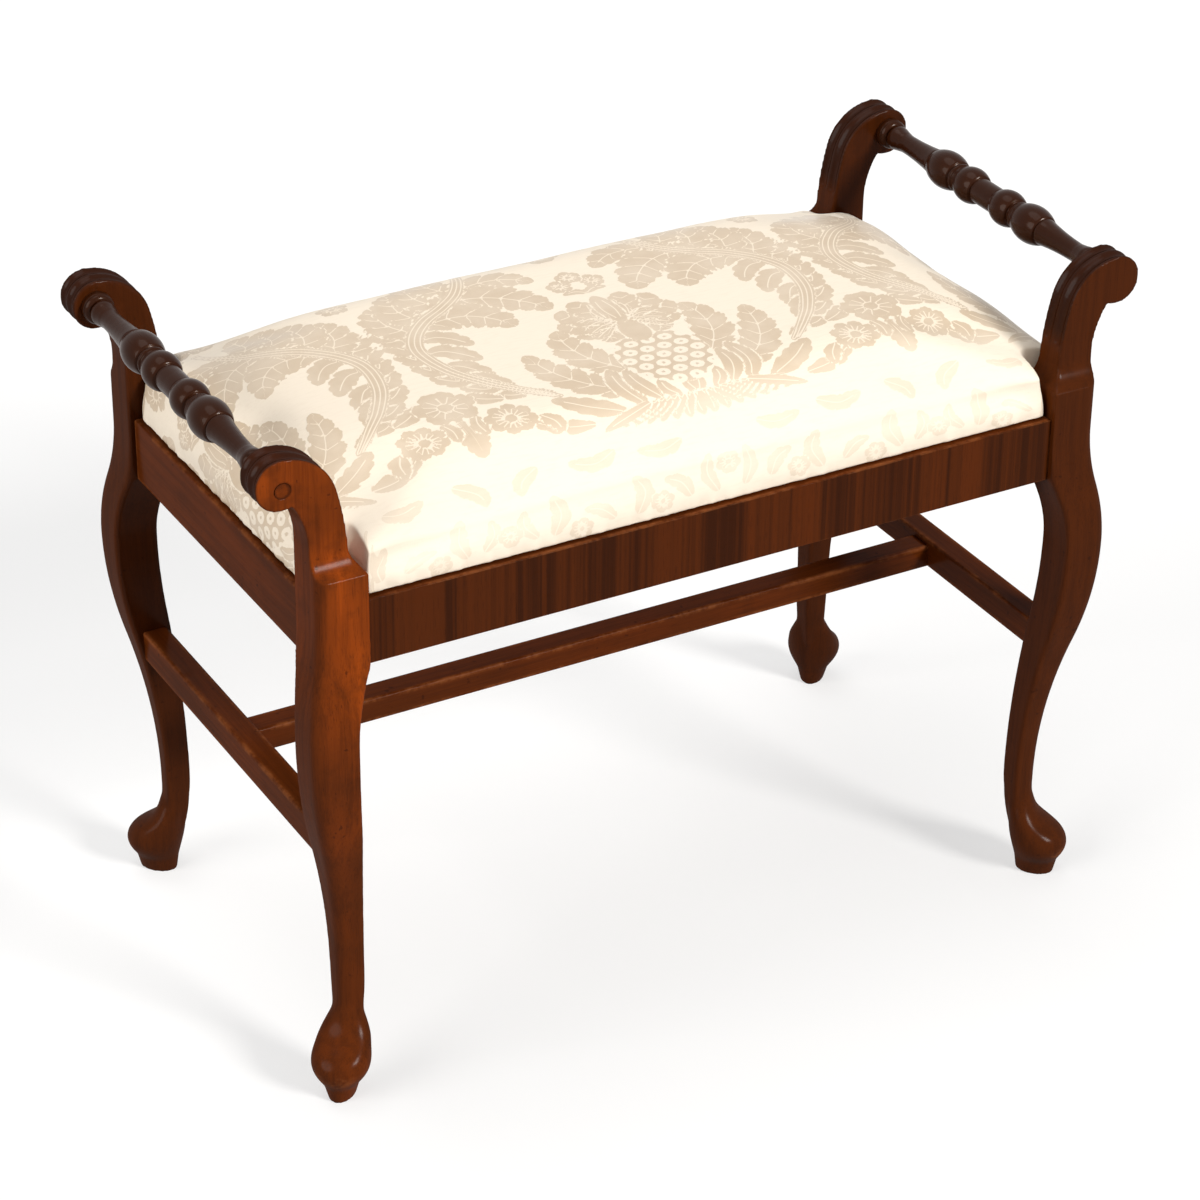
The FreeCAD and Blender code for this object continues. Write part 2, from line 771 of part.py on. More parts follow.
# The H-stretcher
other_blank = mirror("front_leg_blank", leg_blank, Vector(0, 1, 0))
side_body = box(
    "side_stretcher_body",
    "stretcher_width",
    "frame_depth - 2 * shoulder_in",
    "stretcher_height",
    "frame_length / 2 - stretcher_inset - stretcher_width",
    "shoulder_in - frame_depth / 2",
    "stretcher_top - stretcher_height",
)
centre_tenon = box(
    "centre_tenon",
    "frame_length - 2 * stretcher_inset - 2 * stretcher_width + 2 * tenon_length",
    "centre_width - 2 * tenon_shoulder",
    "centre_height - 2 * tenon_shoulder",
    "stretcher_inset + stretcher_width - tenon_length - frame_length / 2",
    "tenon_shoulder - centre_width / 2",
    "centre_bottom + tenon_shoulder",
)
centre_body = box(
    "centre_stretcher_body",
    "frame_length - 2 * stretcher_inset - 2 * stretcher_width",
    "centre_width",
    "centre_height",
    "stretcher_inset + stretcher_width - frame_length / 2",
    "-centre_width / 2",
    "centre_bottom",
)
shouldered = cut("side_stretcher_shouldered", side_body, leg_blank, other_blank)
tenoned = fuse("side_stretcher_tenoned", shouldered, side_tenon)
right_stretcher = node(cut("right_stretcher", tenoned, centre_tenon), "right_stretcher")
node(mirror("left_stretcher", right_stretcher, Vector(1, 0, 0)), "left_stretcher")
node(fuse("centre_stretcher", centre_body, centre_tenon), "centre_stretcher")

# The handles
right_handle = node(turned_handle("right_handle"), "right_handle")
node(mirror("left_handle", right_handle, Vector(1, 0, 0)), "left_handle")

# The loose seat: board, filling, cover and tacks
base = size("rail_top")
skin = size("cover_thickness")
cover_form = cushion("cover_form", 0, base)
filling_form = cushion("filling_form", skin, base + skin)
board_plan = seat_plan("board_plan", size("board_inset"), base + skin)
board_blank = extrude("board_blank", board_plan, Vector(0, 0, 1), "board_thickness")
opening_plan = seat_plan("opening_plan", size("turned_under"), base - skin)
opening = extrude("cover_opening", opening_plan, Vector(0, 0, 1), "3 * cover_thickness")
tacks = node(seat_tacks("seat_tacks"), "seat_tacks")
node(cut("seat_board", board_blank, tacks), "seat_board")
node(cut("seat_filling", filling_form, board_blank), "seat_filling")
node(cut("seat_cover", cover_form, filling_form, opening, tacks), "seat_cover")

doc.recompute()
for item in doc.Objects:
    if "Invalid" in item.State or "Error" in item.State:
        raise RuntimeError(f"{item.Name} failed: {item.getStatusString()}")
for item in NODES:
    if item.Shape.isNull() or not item.Shape.isValid():
        raise RuntimeError(f"{item.Label} has no valid shape")

os.makedirs("parts", exist_ok=True)
for item in NODES:
    item.Shape.exportStep(f"parts/{item.Label}.step")
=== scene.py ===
import math

import bmesh
import bpy
import numpy as np
from bpy.props import FloatProperty, FloatVectorProperty, IntProperty, PointerProperty
from mathutils import Matrix, Vector


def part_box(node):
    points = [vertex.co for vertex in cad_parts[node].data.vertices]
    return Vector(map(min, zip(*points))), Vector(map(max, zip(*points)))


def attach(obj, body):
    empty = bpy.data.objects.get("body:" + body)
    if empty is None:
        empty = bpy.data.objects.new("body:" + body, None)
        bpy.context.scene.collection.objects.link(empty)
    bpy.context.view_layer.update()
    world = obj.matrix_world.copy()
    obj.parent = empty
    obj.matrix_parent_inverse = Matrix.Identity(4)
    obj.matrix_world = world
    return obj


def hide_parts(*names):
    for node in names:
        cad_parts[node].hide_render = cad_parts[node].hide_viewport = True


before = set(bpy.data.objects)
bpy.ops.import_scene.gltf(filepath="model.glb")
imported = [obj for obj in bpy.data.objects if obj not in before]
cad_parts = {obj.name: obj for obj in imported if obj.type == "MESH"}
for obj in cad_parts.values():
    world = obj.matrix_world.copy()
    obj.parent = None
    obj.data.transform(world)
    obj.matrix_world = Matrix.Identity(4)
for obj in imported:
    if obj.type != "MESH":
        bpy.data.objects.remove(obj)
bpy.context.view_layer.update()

bl_info = {
    "name": "Scrolled bench finish",
    "version": (1, 0, 0),
    "blender": (4, 5, 0),
    "location": "View3D > Sidebar > Bench",
    "description": "Polished wood, turned handles and a damask seat for a bench with scrolled ends",
    "category": "Object",
}

MM = 0.001
# How far the polish of each leg is bleached; below 0 the leg is painted darker than the rest as painted
# shade, deepest on the rear legs that stand under the seat
BLEACH_AND_SHADE = {"front_left": 1.05, "front_right": -0.06, "rear_left": -0.35, "rear_right": -0.60}
# The share of that which a leg shows, at heights from its foot to its scroll
BLEACH_AND_SHADE_HEIGHTS = (0.03, 0.07, 0.21, 0.27, 0.36, 0.40, 0.46, 0.51)
BLEACH_AND_SHADE_SHARES = (0.50, 0.20, 0.24, 0.60, 0.62, 0.90, 1.05, 0.78)
CORNERS = tuple(BLEACH_AND_SHADE)
FOOT_LIP = 26 * MM
ANKLE = 74 * MM
FLUTE_TIP = 0.508
VOLUTE_MIDDLE = 0.556
# Strength of the thin clear coat on all polished wood
COAT = 0.09
SEAT_LOW, SEAT_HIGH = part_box("seat_cover")
LEG_LOW, LEG_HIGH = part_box("rear_right_leg")
RAIL_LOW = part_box("front_rail")[0]


def colour(name, description, value):
    return FloatVectorProperty(
        name=name, description=description, subtype="COLOR", size=3, min=0.0, max=1.0, default=value
    )


def length(name, description, value):
    return FloatProperty(name=name, description=description, default=value, unit="LENGTH", subtype="DISTANCE")


def number(name, description, value):
    return FloatProperty(name=name, description=description, default=value)


def point(name, description, value):
    return FloatVectorProperty(name=name, description=description, size=3, unit="LENGTH", default=value)


class BenchWood(bpy.types.PropertyGroup):
    """Colours, gloss and edge softness of the wood."""

    light: colour("Light", "Palest streaks of the polished wood", (0.320, 0.056, 0.0045))
    middle: colour("Middle", "Main tone of the polished wood", (0.072, 0.0160, 0.0028))
    # Also the colour that painted shade darkens the legs towards
    dark: colour("Dark", "Darkest streaks of the polished wood", (0.023, 0.0060, 0.0018))
    bare: colour("Bare", "Wood that shows where the polish is rubbed off", (0.30, 0.095, 0.030))
    black: colour("Black brown", "Stain of the handles and the fluted edges", (0.026, 0.0066, 0.0020))
    plain: colour("Plain", "Unpolished wood inside the frame", (0.42, 0.25, 0.12))
    voxel: length("Voxel", "Grid on which carved pieces are softened", 1.3 * MM)
    passes: IntProperty(name="Passes", description="Smoothing passes over a carved piece", default=4)
    keep: number("Keep", "Share of a carved piece's faces that are kept", 0.4)
    eased: length("Eased edge", "Radius of the rails' and stretchers' edges", 1.6 * MM)
    gloss: number("Gloss", "Roughness of the polish", 0.27)


class BenchSeat(bpy.types.PropertyGroup):
    """Form and colours of the loose seat."""

    ground: colour("Ground", "Matt ground of the damask", (0.93, 0.82, 0.675))
    motif: colour("Motif", "Satin leaves and flowers of the damask", (0.63, 0.49, 0.34))
    slub: colour("Slub", "Thicker threads of the damask", (0.62, 0.47, 0.32))
    voxel: length("Voxel", "Grid of the cushion before it swells", 4.5 * MM)
    pressure: number("Pressure", "Pressure that swells the cushion", 4.0)
    cap: length("Cap", "Furthest that a point of the cushion may move", 12 * MM)
    margin: length("Margin", "Width of the cover that is turned under", 27 * MM)
    cloth: length("Cloth", "Thickness of the cover", 1.0 * MM)


class BenchStage(bpy.types.PropertyGroup):
    """Camera, floor and lights."""

    eye: point("Eye", "Place of the camera", (-1.3652, -2.4091, 1.8784))
    target: point("Target", "Point in the middle of the view", (0.00257, 0.0052, 0.26728))
    roll: FloatProperty(
        name="Roll", description="Tilt of the camera", subtype="ANGLE", default=math.radians(0.686)
    )
    lens: number("Lens", "Focal length in millimetres", 113.83)
    floor: colour("Floor", "Pale floor", (0.44, 0.44, 0.44))
    glow: number("Glow", "Light that the floor adds where it is looked at", 0.57)
    ambient: number("Ambient", "Strength of the white surroundings as a light", 0.18)


SETTINGS = {"bench_wood": BenchWood, "bench_seat": BenchSeat, "bench_stage": BenchStage}


class Nodes:
    """Short ways to add shader nodes to one tree."""

    def __init__(self, tree):
        self.tree = tree

    def put(self, value, socket):
        if isinstance(value, bpy.types.NodeSocket):
            self.tree.links.new(value, socket)
        elif socket.type == "RGBA":
            socket.default_value = (*value[:3], 1.0)
        else:
            socket.default_value = value

    def fill(self, node, **inputs):
        for name, value in inputs.items():
            self.put(value, node.inputs[name.replace("_", " ")])
        return node

    def add(self, kind, settings=None, **inputs):
        node = self.tree.nodes.new(kind)
        for name, value in (settings or {}).items():
            setattr(node, name, value)
        return self.fill(node, **inputs)

    def math(self, operation, first, second=0.0, clamp=False):
        node = self.add("ShaderNodeMath", {"operation": operation, "use_clamp": clamp})
        self.put(first, node.inputs[0])
        self.put(second, node.inputs[1])
        return node.outputs[0]

    def plus(self, first, second):
        return self.math("ADD", first, second)

    def less(self, first, second, clamp=False):
        return self.math("SUBTRACT", first, second, clamp)

    def times(self, first, second, clamp=False):
        return self.math("MULTIPLY", first, second, clamp)

    def mix(self, factor, first, second):
        node = self.add("ShaderNodeMix", {"data_type": "RGBA"})
        self.put(factor, node.inputs[0])
        self.put(first, node.inputs[6])
        self.put(second, node.inputs[7])
        return node.outputs[2]

    def over(self, tone, tint, mask, share):
        """A tone with a tint laid over it where the mask is, up to the given share."""
        return self.mix(self.times(mask, share), tone, tint)

    def between(self, value, low, high, to_low=0.0, to_high=1.0):
        """A smooth step from low to high."""
        node = self.add("ShaderNodeMapRange", {"interpolation_type": "SMOOTHSTEP"}, Value=value)
        for socket, setting in zip(node.inputs[1:5], (low, high, to_low, to_high)):
            self.put(setting, socket)
        return node.outputs[0]

    def noise(self, vector, scale, detail, roughness):
        node = self.add("ShaderNodeTexNoise", Vector=vector, Scale=scale, Detail=detail, Roughness=roughness)
        return node.outputs["Fac"]

    def stretched(self, vector, scale):
        return self.add("ShaderNodeMapping", Vector=vector, Scale=scale).outputs[0]

    def fibres(self, vector, scale, detail, roughness):
        """Noise with a scale of its own along each axis."""
        return self.noise(self.stretched(vector, scale), 1.0, detail, roughness)

    def place(self, kind="Object"):
        return self.add("ShaderNodeTexCoord").outputs[kind]

    def bump(self, strength, depth, height):
        return self.add("ShaderNodeBump", Strength=strength, Distance=depth, Height=height).outputs[0]

    def reading(self, name):
        return self.add("ShaderNodeAttribute", {"attribute_name": name}).outputs["Fac"]

    def group(self, name, make, **inputs):
        """The outputs of a shared node group, which is made when it is first used."""
        tree = bpy.data.node_groups.get(name) or make(name)
        return self.add("ShaderNodeGroup", {"node_tree": tree}, **inputs).outputs


FLOAT = "NodeSocketFloat"
VECTOR = "NodeSocketVector"
GRAIN_TURNS = {"Z": (0, 0, 0), "X": (0, math.pi / 2, 0), "Y": (math.pi / 2, 0, 0)}


def new_group(name, inputs, outputs):
    """An empty shader node group whose outputs are all numbers: its tree, nodes, inputs and end node."""
    tree = bpy.data.node_groups.new(name, "ShaderNodeTree")
    for label, kind in inputs.items():
        tree.interface.new_socket(name=label, in_out="INPUT", socket_type=kind)
    for label in outputs:
        tree.interface.new_socket(name=label, in_out="OUTPUT", socket_type=FLOAT)
    nodes = Nodes(tree)
    return tree, nodes, nodes.add("NodeGroupInput").outputs, nodes.add("NodeGroupOutput")


def grain_group(name):
    """Straight-grained wood whose fibres run along Z: broad bands, streaks, fine lines and pores."""
    tree, nodes, given, result = new_group(name, {"Vector": VECTOR}, ("Bands", "Streaks", "Pores", "Height"))
    along = given["Vector"]
    bands = nodes.fibres(along, (22, 22, 2.2), 3.0, 0.55)
    streaks = nodes.fibres(along, (150, 150, 6), 3.0, 0.6)
    lines = nodes.fibres(along, (900, 900, 18), 2.0, 0.6)
    flecks = nodes.fibres(along, (1500, 1500, 70), 1.0, 0.5)
    pores = nodes.between(flecks, 0.60, 0.72)
    nodes.fill(
        result,
        Bands=nodes.between(bands, 0.32, 0.68),
        Streaks=nodes.plus(nodes.times(streaks, 0.65), nodes.times(lines, 0.35)),
        Pores=pores,
        Height=nodes.less(nodes.times(lines, 0.4), pores),
    )
    return tree


def wear_group(name):
    """Rubbed edges, darkening in hollows and faint scuffs, from a piece's own edge reading."""
    inputs = {"Vector": VECTOR, "Edge": FLOAT}
    tree, nodes, given, result = new_group(name, inputs, ("Rubbed", "Dirt", "Scuffs"))
    patches = nodes.noise(given["Vector"], 38.0, 4.0, 0.62)
    bites = nodes.noise(given["Vector"], 260.0, 3.0, 0.6)
    uneven = nodes.plus(nodes.times(patches, 0.7), nodes.times(bites, 0.3))
    scuffs = nodes.fibres(given["Vector"], (60, 60, 400), 3.0, 0.7)
    nodes.fill(
        result,
        Rubbed=nodes.times(nodes.between(given["Edge"], 0.10, 0.42), nodes.between(uneven, 0.40, 0.66)),
        # Hollows: where the edge reading falls below zero
        Dirt=nodes.between(given["Edge"], -0.06, -0.30),
        Scuffs=nodes.between(scuffs, 0.58, 0.75),
    )
    return tree


def new_material(name):
    made = bpy.data.materials.new(name)
    made.use_nodes = True
    made.node_tree.nodes.clear()
    nodes = Nodes(made.node_tree)
    shader = nodes.add("ShaderNodeBsdfPrincipled")
    output = nodes.add("ShaderNodeOutputMaterial")
    nodes.put(shader.outputs[0], output.inputs[0])
    return made, nodes, shader


def wood_material(name, axis, shift):
    """What every wood starts from: a material, its nodes, shader, coordinates, and grain along one axis."""
    made, nodes, shader = new_material(name)
    place = nodes.place()
    turn = GRAIN_TURNS[axis]
    vector = nodes.add("ShaderNodeMapping", Vector=place, Rotation=turn, Location=shift).outputs[0]
    grain = nodes.group("Straight grain", grain_group, Vector=vector)
    return made, nodes, shader, place, vector, grain


def worn(nodes, place):
    return nodes.group("Wear", wear_group, Vector=place, Edge=nodes.reading("edge"))


def polish(nodes, shader, tone, grain, wear, gloss, shine):
    """The satin surface that all polished pieces share: thinner where rubbed or scuffed, with open grain."""
    rough = gloss
    for mask, share in ((grain["Streaks"], 0.10), (wear["Rubbed"], 0.14), (wear["Scuffs"], 0.08)):
        rough = nodes.plus(rough, nodes.times(mask, share))
    lost = nodes.plus(nodes.times(wear["Rubbed"], 0.5), nodes.times(wear["Scuffs"], 0.4))
    nodes.fill(
        shader,
        Base_Color=tone,
        Roughness=rough,
        Coat_Weight=nodes.times(nodes.less(1.0, lost, True), shine),
        Coat_Roughness=0.20,
        Specular_IOR_Level=0.0,
        Normal=nodes.bump(0.10, 0.4 * MM, grain["Height"]),
    )


def polished(name, axis, shift, stained=False, bleach_and_shade=0.14):
    """Red-brown polished wood. Stained pieces read how far they are bleached and how far painted shade
    darkens them, and where the black stain goes.
    """
    wood = bpy.context.scene.bench_wood
    made, nodes, shader, place, vector, grain = wood_material(name, axis, shift)
    wear = worn(nodes, place)
    clouds = nodes.between(nodes.noise(vector, 9.0, 2.0, 0.5), 0.35, 0.65, 0.55, 1.25)
    bleached = nodes.times(nodes.between(grain["Bands"], 0.0, 1.0, 0.45, 1.0), clouds)
    if stained:
        bleach_and_shade = nodes.reading("bleach_and_shade")
    tone = nodes.mix(nodes.times(bleached, bleach_and_shade, True), wood.middle, wood.light)
    # A reading below zero paints the wood darker: painted shade
    tone = nodes.mix(nodes.times(bleach_and_shade, -1.0, True), tone, wood.dark)
    blotch = nodes.between(nodes.noise(vector, 34.0, 4.0, 0.62), 0.50, 0.66, 0.0, 0.38)
    tone = nodes.mix(blotch, tone, wood.middle)
    specks = nodes.between(nodes.noise(place, 130.0, 2.0, 0.5), 0.69, 0.75, 0.0, 0.55)
    tone = nodes.mix(specks, tone, wood.dark)
    streak = nodes.between(grain["Streaks"], 0.36, 0.60, 0.34, 0.0)
    tone = nodes.mix(streak, tone, wood.dark)
    tone = nodes.over(tone, wood.dark, grain["Pores"], 0.35)
    shine = COAT
    if stained:
        black = nodes.times(nodes.reading("stain"), nodes.less(1.0, wear["Rubbed"]))
        tone = nodes.over(tone, wood.black, black, 0.94)
        shine = nodes.plus(COAT, nodes.times(black, 0.05))
    tone = nodes.over(tone, wood.bare, wear["Rubbed"], 0.5)
    # Darker in hollows, where the edge reading is below zero
    tone = nodes.over(tone, wood.black, wear["Dirt"], 0.75)
    polish(nodes, shader, tone, grain, wear, wood.gloss, shine)
    return made


def plugged(name):
    """The filled hole in a scroll: wood like the leg's, with a dark ragged rim."""
    wood = bpy.context.scene.bench_wood
    made = polished(name, "Y", (0.5, 0.2, 0.7), bleach_and_shade=0.85)
    nodes = Nodes(made.node_tree)
    shader = made.node_tree.nodes["Principled BSDF"]
    plain = shader.inputs["Base Color"].links[0].from_socket
    place = nodes.stretched(nodes.place("Generated"), (1, 0, 1))
    away = nodes.add("ShaderNodeVectorMath", {"operation": "DISTANCE"})
    nodes.put(place, away.inputs[0])
    nodes.put((0.44, 0.0, 0.54), away.inputs[1])
    ragged = nodes.times(nodes.less(nodes.noise(place, 7.0, 3.0, 0.6), 0.5), 0.25)
    rim = nodes.between(nodes.plus(away.outputs["Value"], ragged), 0.30, 0.52, 0.0, 0.65)
    nodes.fill(shader, Base_Color=nodes.mix(rim, plain, wood.dark))
    return made


def veneered(name):
    """Cross-grained veneer: upright stripes from leaf to leaf, each a little lighter or darker."""
    wood = bpy.context.scene.bench_wood
    made, nodes, shader, place, vector, grain = wood_material(name, "Z", (0.31, 0.17, 0.05))
    wear = worn(nodes, place)
    stripe = nodes.fibres(vector, (34, 3, 0.5), 3.0, 0.60)
    fine = nodes.fibres(vector, (260, 10, 2.0), 2.0, 0.6)
    ribbon = nodes.plus(nodes.times(stripe, 0.70), nodes.times(fine, 0.30))
    along = nodes.add("ShaderNodeSeparateXYZ", Vector=place).outputs[0]
    striped = nodes.between(along, -0.12, 0.10, 0.35, 1.0)
    red = nodes.times(nodes.between(ribbon, 0.49, 0.60), striped)
    tone = nodes.over(wood.middle, wood.light, red, 0.08)
    tone = nodes.over(tone, wood.dark, nodes.between(ribbon, 0.53, 0.40), 0.70)
    tone = nodes.over(tone, wood.dark, grain["Pores"], 0.35)
    tone = nodes.over(tone, wood.bare, wear["Rubbed"], 0.45)
    polish(nodes, shader, tone, grain, wear, wood.gloss, COAT)
    return made


def turned(name, shift):
    """Black-brown turned wood with a hard polish, rubbed brown on its crests."""
    wood = bpy.context.scene.bench_wood
    made, nodes, shader, place, _, grain = wood_material(name, "Y", shift)
    wear = worn(nodes, place)
    tone = nodes.over(wood.black, wood.dark, nodes.between(grain["Streaks"], 0.42, 0.70), 0.35)
    tone = nodes.over(tone, wood.middle, wear["Rubbed"], 0.5)
    polish(nodes, shader, tone, grain, wear, wood.gloss - 0.04, 0.11)
    nodes.fill(shader, Coat_Roughness=0.08, Specular_IOR_Level=0.06, Specular_Tint=(1.0, 0.60, 0.40))
    return made


def sawn(name, axis, shift=(0, 0, 0)):
    """Bare hardwood inside the frame, with saw marks."""
    wood = bpy.context.scene.bench_wood
    made, nodes, shader, _, vector, grain = wood_material(name, axis, shift)
    tone = nodes.over(wood.plain, wood.bare, grain["Streaks"], 0.8)
    tone = nodes.over(tone, wood.middle, grain["Pores"], 0.4)
    rough = nodes.plus(0.55, nodes.times(grain["Bands"], 0.2))
    marks = nodes.fibres(vector, (20, 20, 500), 2.0, 0.5)
    height = nodes.plus(grain["Height"], nodes.times(marks, 0.8))
    nodes.fill(shader, Base_Color=tone, Roughness=rough, Normal=nodes.bump(0.3, 0.5 * MM, height))
    return made


def blued_steel(name):
    made, nodes, shader = new_material(name)
    spots = nodes.noise(nodes.place(), 900.0, 3.0, 0.6)
    tone = nodes.mix(spots, (0.10, 0.10, 0.11), (0.30, 0.24, 0.20))
    rough = nodes.between(spots, 0.3, 0.7, 0.32, 0.55)
    nodes.fill(shader, Base_Color=tone, Metallic=1.0, Roughness=rough)
    return made


def vectors(items, name):
    flat = np.empty(len(items) * 3, np.float32)
    items.foreach_get(name, flat)
    return flat.reshape(-1, 3).astype(float)


def coordinates(mesh):
    return vectors(mesh.vertices, "co")


def normals(mesh):
    return vectors(mesh.vertex_normals, "vector")


def set_coordinates(mesh, place):
    mesh.vertices.foreach_set("co", place.astype(np.float32).ravel())
    mesh.update()


def neighbours(mesh):
    pairs = np.empty(len(mesh.edges) * 2, np.int32)
    mesh.edges.foreach_get("vertices", pairs)
    return pairs.reshape(-1, 2)


def averaged(values, pairs, rounds):
    """Values evened out along the edges."""
    count = np.bincount(pairs.ravel(), minlength=len(values)).clip(1)
    for _ in range(rounds):
        total = np.bincount(pairs[:, 0], values[pairs[:, 1]], len(values))
        total += np.bincount(pairs[:, 1], values[pairs[:, 0]], len(values))
        values = 0.5 * values + 0.5 * total / count
    return values


def averaged_rows(rows, pairs, rounds):
    return np.stack([averaged(column, pairs, rounds) for column in rows.T], 1)


def write_reading(mesh, name, values):
    mesh.attributes.new(name, "FLOAT", "POINT").data.foreach_set("value", values.astype(np.float32))


def edge_reading(mesh):
    """How far each point stands out of its neighbours: above zero on edges, below zero in hollows."""
    place = coordinates(mesh)
    facing = normals(mesh)
    pairs = neighbours(mesh)
    step = place[pairs[:, 0]] - place[pairs[:, 1]]
    step /= np.linalg.norm(step, axis=1, keepdims=True).clip(1e-9)
    rise = np.bincount(pairs[:, 0], (facing[pairs[:, 0]] * step).sum(1), len(place))
    rise -= np.bincount(pairs[:, 1], (facing[pairs[:, 1]] * step).sum(1), len(place))
    rise /= np.bincount(pairs.ravel(), minlength=len(place)).clip(1)
    return averaged(rise, pairs, 2)


def evaluated(piece):
    bpy.context.view_layer.update()
    graph = bpy.context.evaluated_depsgraph_get()
    return bpy.data.meshes.new_from_object(piece.evaluated_get(graph))


def applied(piece):
    """A piece's mesh with its modifiers applied."""
    mesh = evaluated(piece)
    piece.modifiers.clear()
    piece.data = mesh
    return mesh


def linked(name, mesh):
    piece = bpy.data.objects.new(name, mesh)
    bpy.context.scene.collection.objects.link(piece)
    return piece


def meshed(name, made):
    mesh = bpy.data.meshes.new(name)
    made.to_mesh(mesh)
    made.free()
    return mesh


def smooth(mesh):
    mesh.polygons.foreach_set("use_smooth", np.ones(len(mesh.polygons), bool))


def add_grid(piece, voxel):
    remesh = piece.modifiers.new("Grid", "REMESH")
    remesh.mode = "VOXEL"
    remesh.voxel_size = voxel


def softened(name, node, voxel, passes, keep):
    """A copy of a carved CAD piece with its edges eased, thinned out to the given share of its faces."""
    piece = linked(name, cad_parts[node].data.copy())
    piece.data.materials.clear()
    add_grid(piece, voxel)
    ease = piece.modifiers.new("Ease", "SMOOTH")
    ease.factor = 0.5
    ease.iterations = passes
    piece.modifiers.new("Thin", "DECIMATE").ratio = keep
    smooth(applied(piece))
    return piece


def spun(name, node, scribed, turns=48):
    """A turned piece spun from the CAD piece's outline, with lines scribed at distances from its middle."""
    low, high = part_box(node)
    axis_x = (low.x + high.x) / 2
    axis_z = (low.z + high.z) / 2
    hidden_end = 6 * MM
    place = coordinates(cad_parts[node].data)
    radius = np.hypot(place[:, 0] - axis_x, place[:, 2] - axis_z)
    rings = np.unique(np.stack([place[:, 1], radius], 1).round(5), axis=0)
    rings = rings[np.abs(rings[:, 0]) < high.y - hidden_end]
    outline = []
    for along in np.unique(rings[:, 0]):
        level = list(rings[rings[:, 0] == along])
        if outline and abs(level[0][1] - outline[-1][1]) > abs(level[-1][1] - outline[-1][1]):
            level.reverse()
        outline += level
    outline = np.array(outline)
    reached = np.concatenate([[0.0], np.cumsum(np.hypot(*np.diff(outline, axis=0).T))])
    fine = [np.linspace(0, reached[-1], int(reached[-1] / (1.1 * MM)))]
    for line in scribed:
        for sign in (-1, 1):
            centre = np.interp(sign * line, outline[:, 0], reached)
            fine.append(centre + np.linspace(-1.2, 1.2, 9) * MM)
    steps = np.unique(np.concatenate(fine))
    along = np.interp(steps, reached, outline[:, 0])
    size = np.interp(steps, reached, outline[:, 1])
    size[1:-1] = 0.25 * size[:-2] + 0.5 * size[1:-1] + 0.25 * size[2:]
    # The coves are cut crisper than the CAD outline, and no crest goes past it
    cove_reach = 11 * MM
    deepest = 3 * MM
    coved_half = 0.13
    weight = np.exp(-((steps[:, None] - steps[None, :]) / cove_reach) ** 2)
    mean = weight @ size / weight.sum(1)
    size -= 0.55 * np.clip(mean - size, 0, deepest) * (np.abs(along) < coved_half)
    line_depth = 1.25 * MM
    line_width = 0.65 * MM
    for line in scribed:
        size -= line_depth * np.exp(-((np.abs(along) - line) / line_width) ** 2)
    angle = np.linspace(0, 2 * math.pi, turns, endpoint=False)
    shape = np.empty((len(steps), turns, 3))
    shape[:, :, 0] = axis_x + size[:, None] * np.cos(angle)
    shape[:, :, 1] = along[:, None]
    shape[:, :, 2] = axis_z + size[:, None] * np.sin(angle)
    number = np.arange(len(steps) * turns).reshape(len(steps), turns)
    ahead = np.roll(number, -1, axis=1)
    faces = np.stack([number[:-1], number[1:], ahead[1:], ahead[:-1]], 2).reshape(-1, 4).tolist()
    faces += [number[0].tolist(), number[-1][::-1].tolist()]
    mesh = bpy.data.meshes.new(name)
    mesh.from_pydata(shape.reshape(-1, 3).tolist(), [], faces)
    mesh.update()
    smooth(mesh)
    return linked(name, mesh)


def placed(piece, body, slot, material, *stood_for):
    piece.data.materials.clear()
    piece.data.materials.append(material)
    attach(piece, body)
    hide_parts(*stood_for)
    return piece


def graded(low, high, radius, cell):
    """Places along one side of a bar, close together at its rounded ends."""
    ends = [0.0, 0.35 * radius, radius, 2 * radius, 4 * radius]
    inner = np.linspace(low + 8 * radius, high - 8 * radius, max(2, int((high - low) / cell)))
    if high - low < 18 * radius:
        inner = np.linspace(low + 4 * radius, high - 4 * radius, 3)[1:-1]
    return np.array([low + end for end in ends] + list(inner) + [high - end for end in reversed(ends)])


def rounded_bar(name, low, high, radius, cell=18 * MM):
    """A straight bar with rounded edges, its faces divided so that wear can be read along them."""
    made = bmesh.new()
    sides = [graded(a, b, radius, cell) for a, b in zip(low, high)]
    for axis in range(3):
        across, up = sides[(axis + 1) % 3], sides[(axis + 2) % 3]
        for end in (low[axis], high[axis]):
            grid = []
            for a in across:
                row = []
                for b in up:
                    point = [0.0, 0.0, 0.0]
                    point[axis], point[(axis + 1) % 3], point[(axis + 2) % 3] = end, a, b
                    row.append(made.verts.new(point))
                grid.append(row)
            for one, two in zip(grid, grid[1:]):
                for n in range(len(one) - 1):
                    corners = [one[n], two[n], two[n + 1], one[n + 1]]
                    made.faces.new(corners if end == high[axis] else corners[::-1])
    bmesh.ops.remove_doubles(made, verts=made.verts, dist=1e-7)
    inner_low = Vector(low) + Vector((radius,) * 3)
    inner_high = Vector(high) - Vector((radius,) * 3)
    for vertex in made.verts:
        core = Vector(min(max(c, a), b) for c, a, b in zip(vertex.co, inner_low, inner_high))
        vertex.co = core + (vertex.co - core).normalized() * radius
    mesh = meshed(name, made)
    smooth(mesh)
    place = coordinates(mesh)
    inside = np.sort(np.minimum(place - np.array(low), np.array(high) - place), axis=1)
    write_reading(mesh, "edge", np.exp(-(inside[:, 1] / (2.2 * radius)) ** 2) * 0.5)
    return linked(name, mesh)


def covered(node, material):
    """Give a material to a CAD piece that is shown as it is."""
    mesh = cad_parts[node].data
    mesh.materials.clear()
    mesh.materials.append(material)


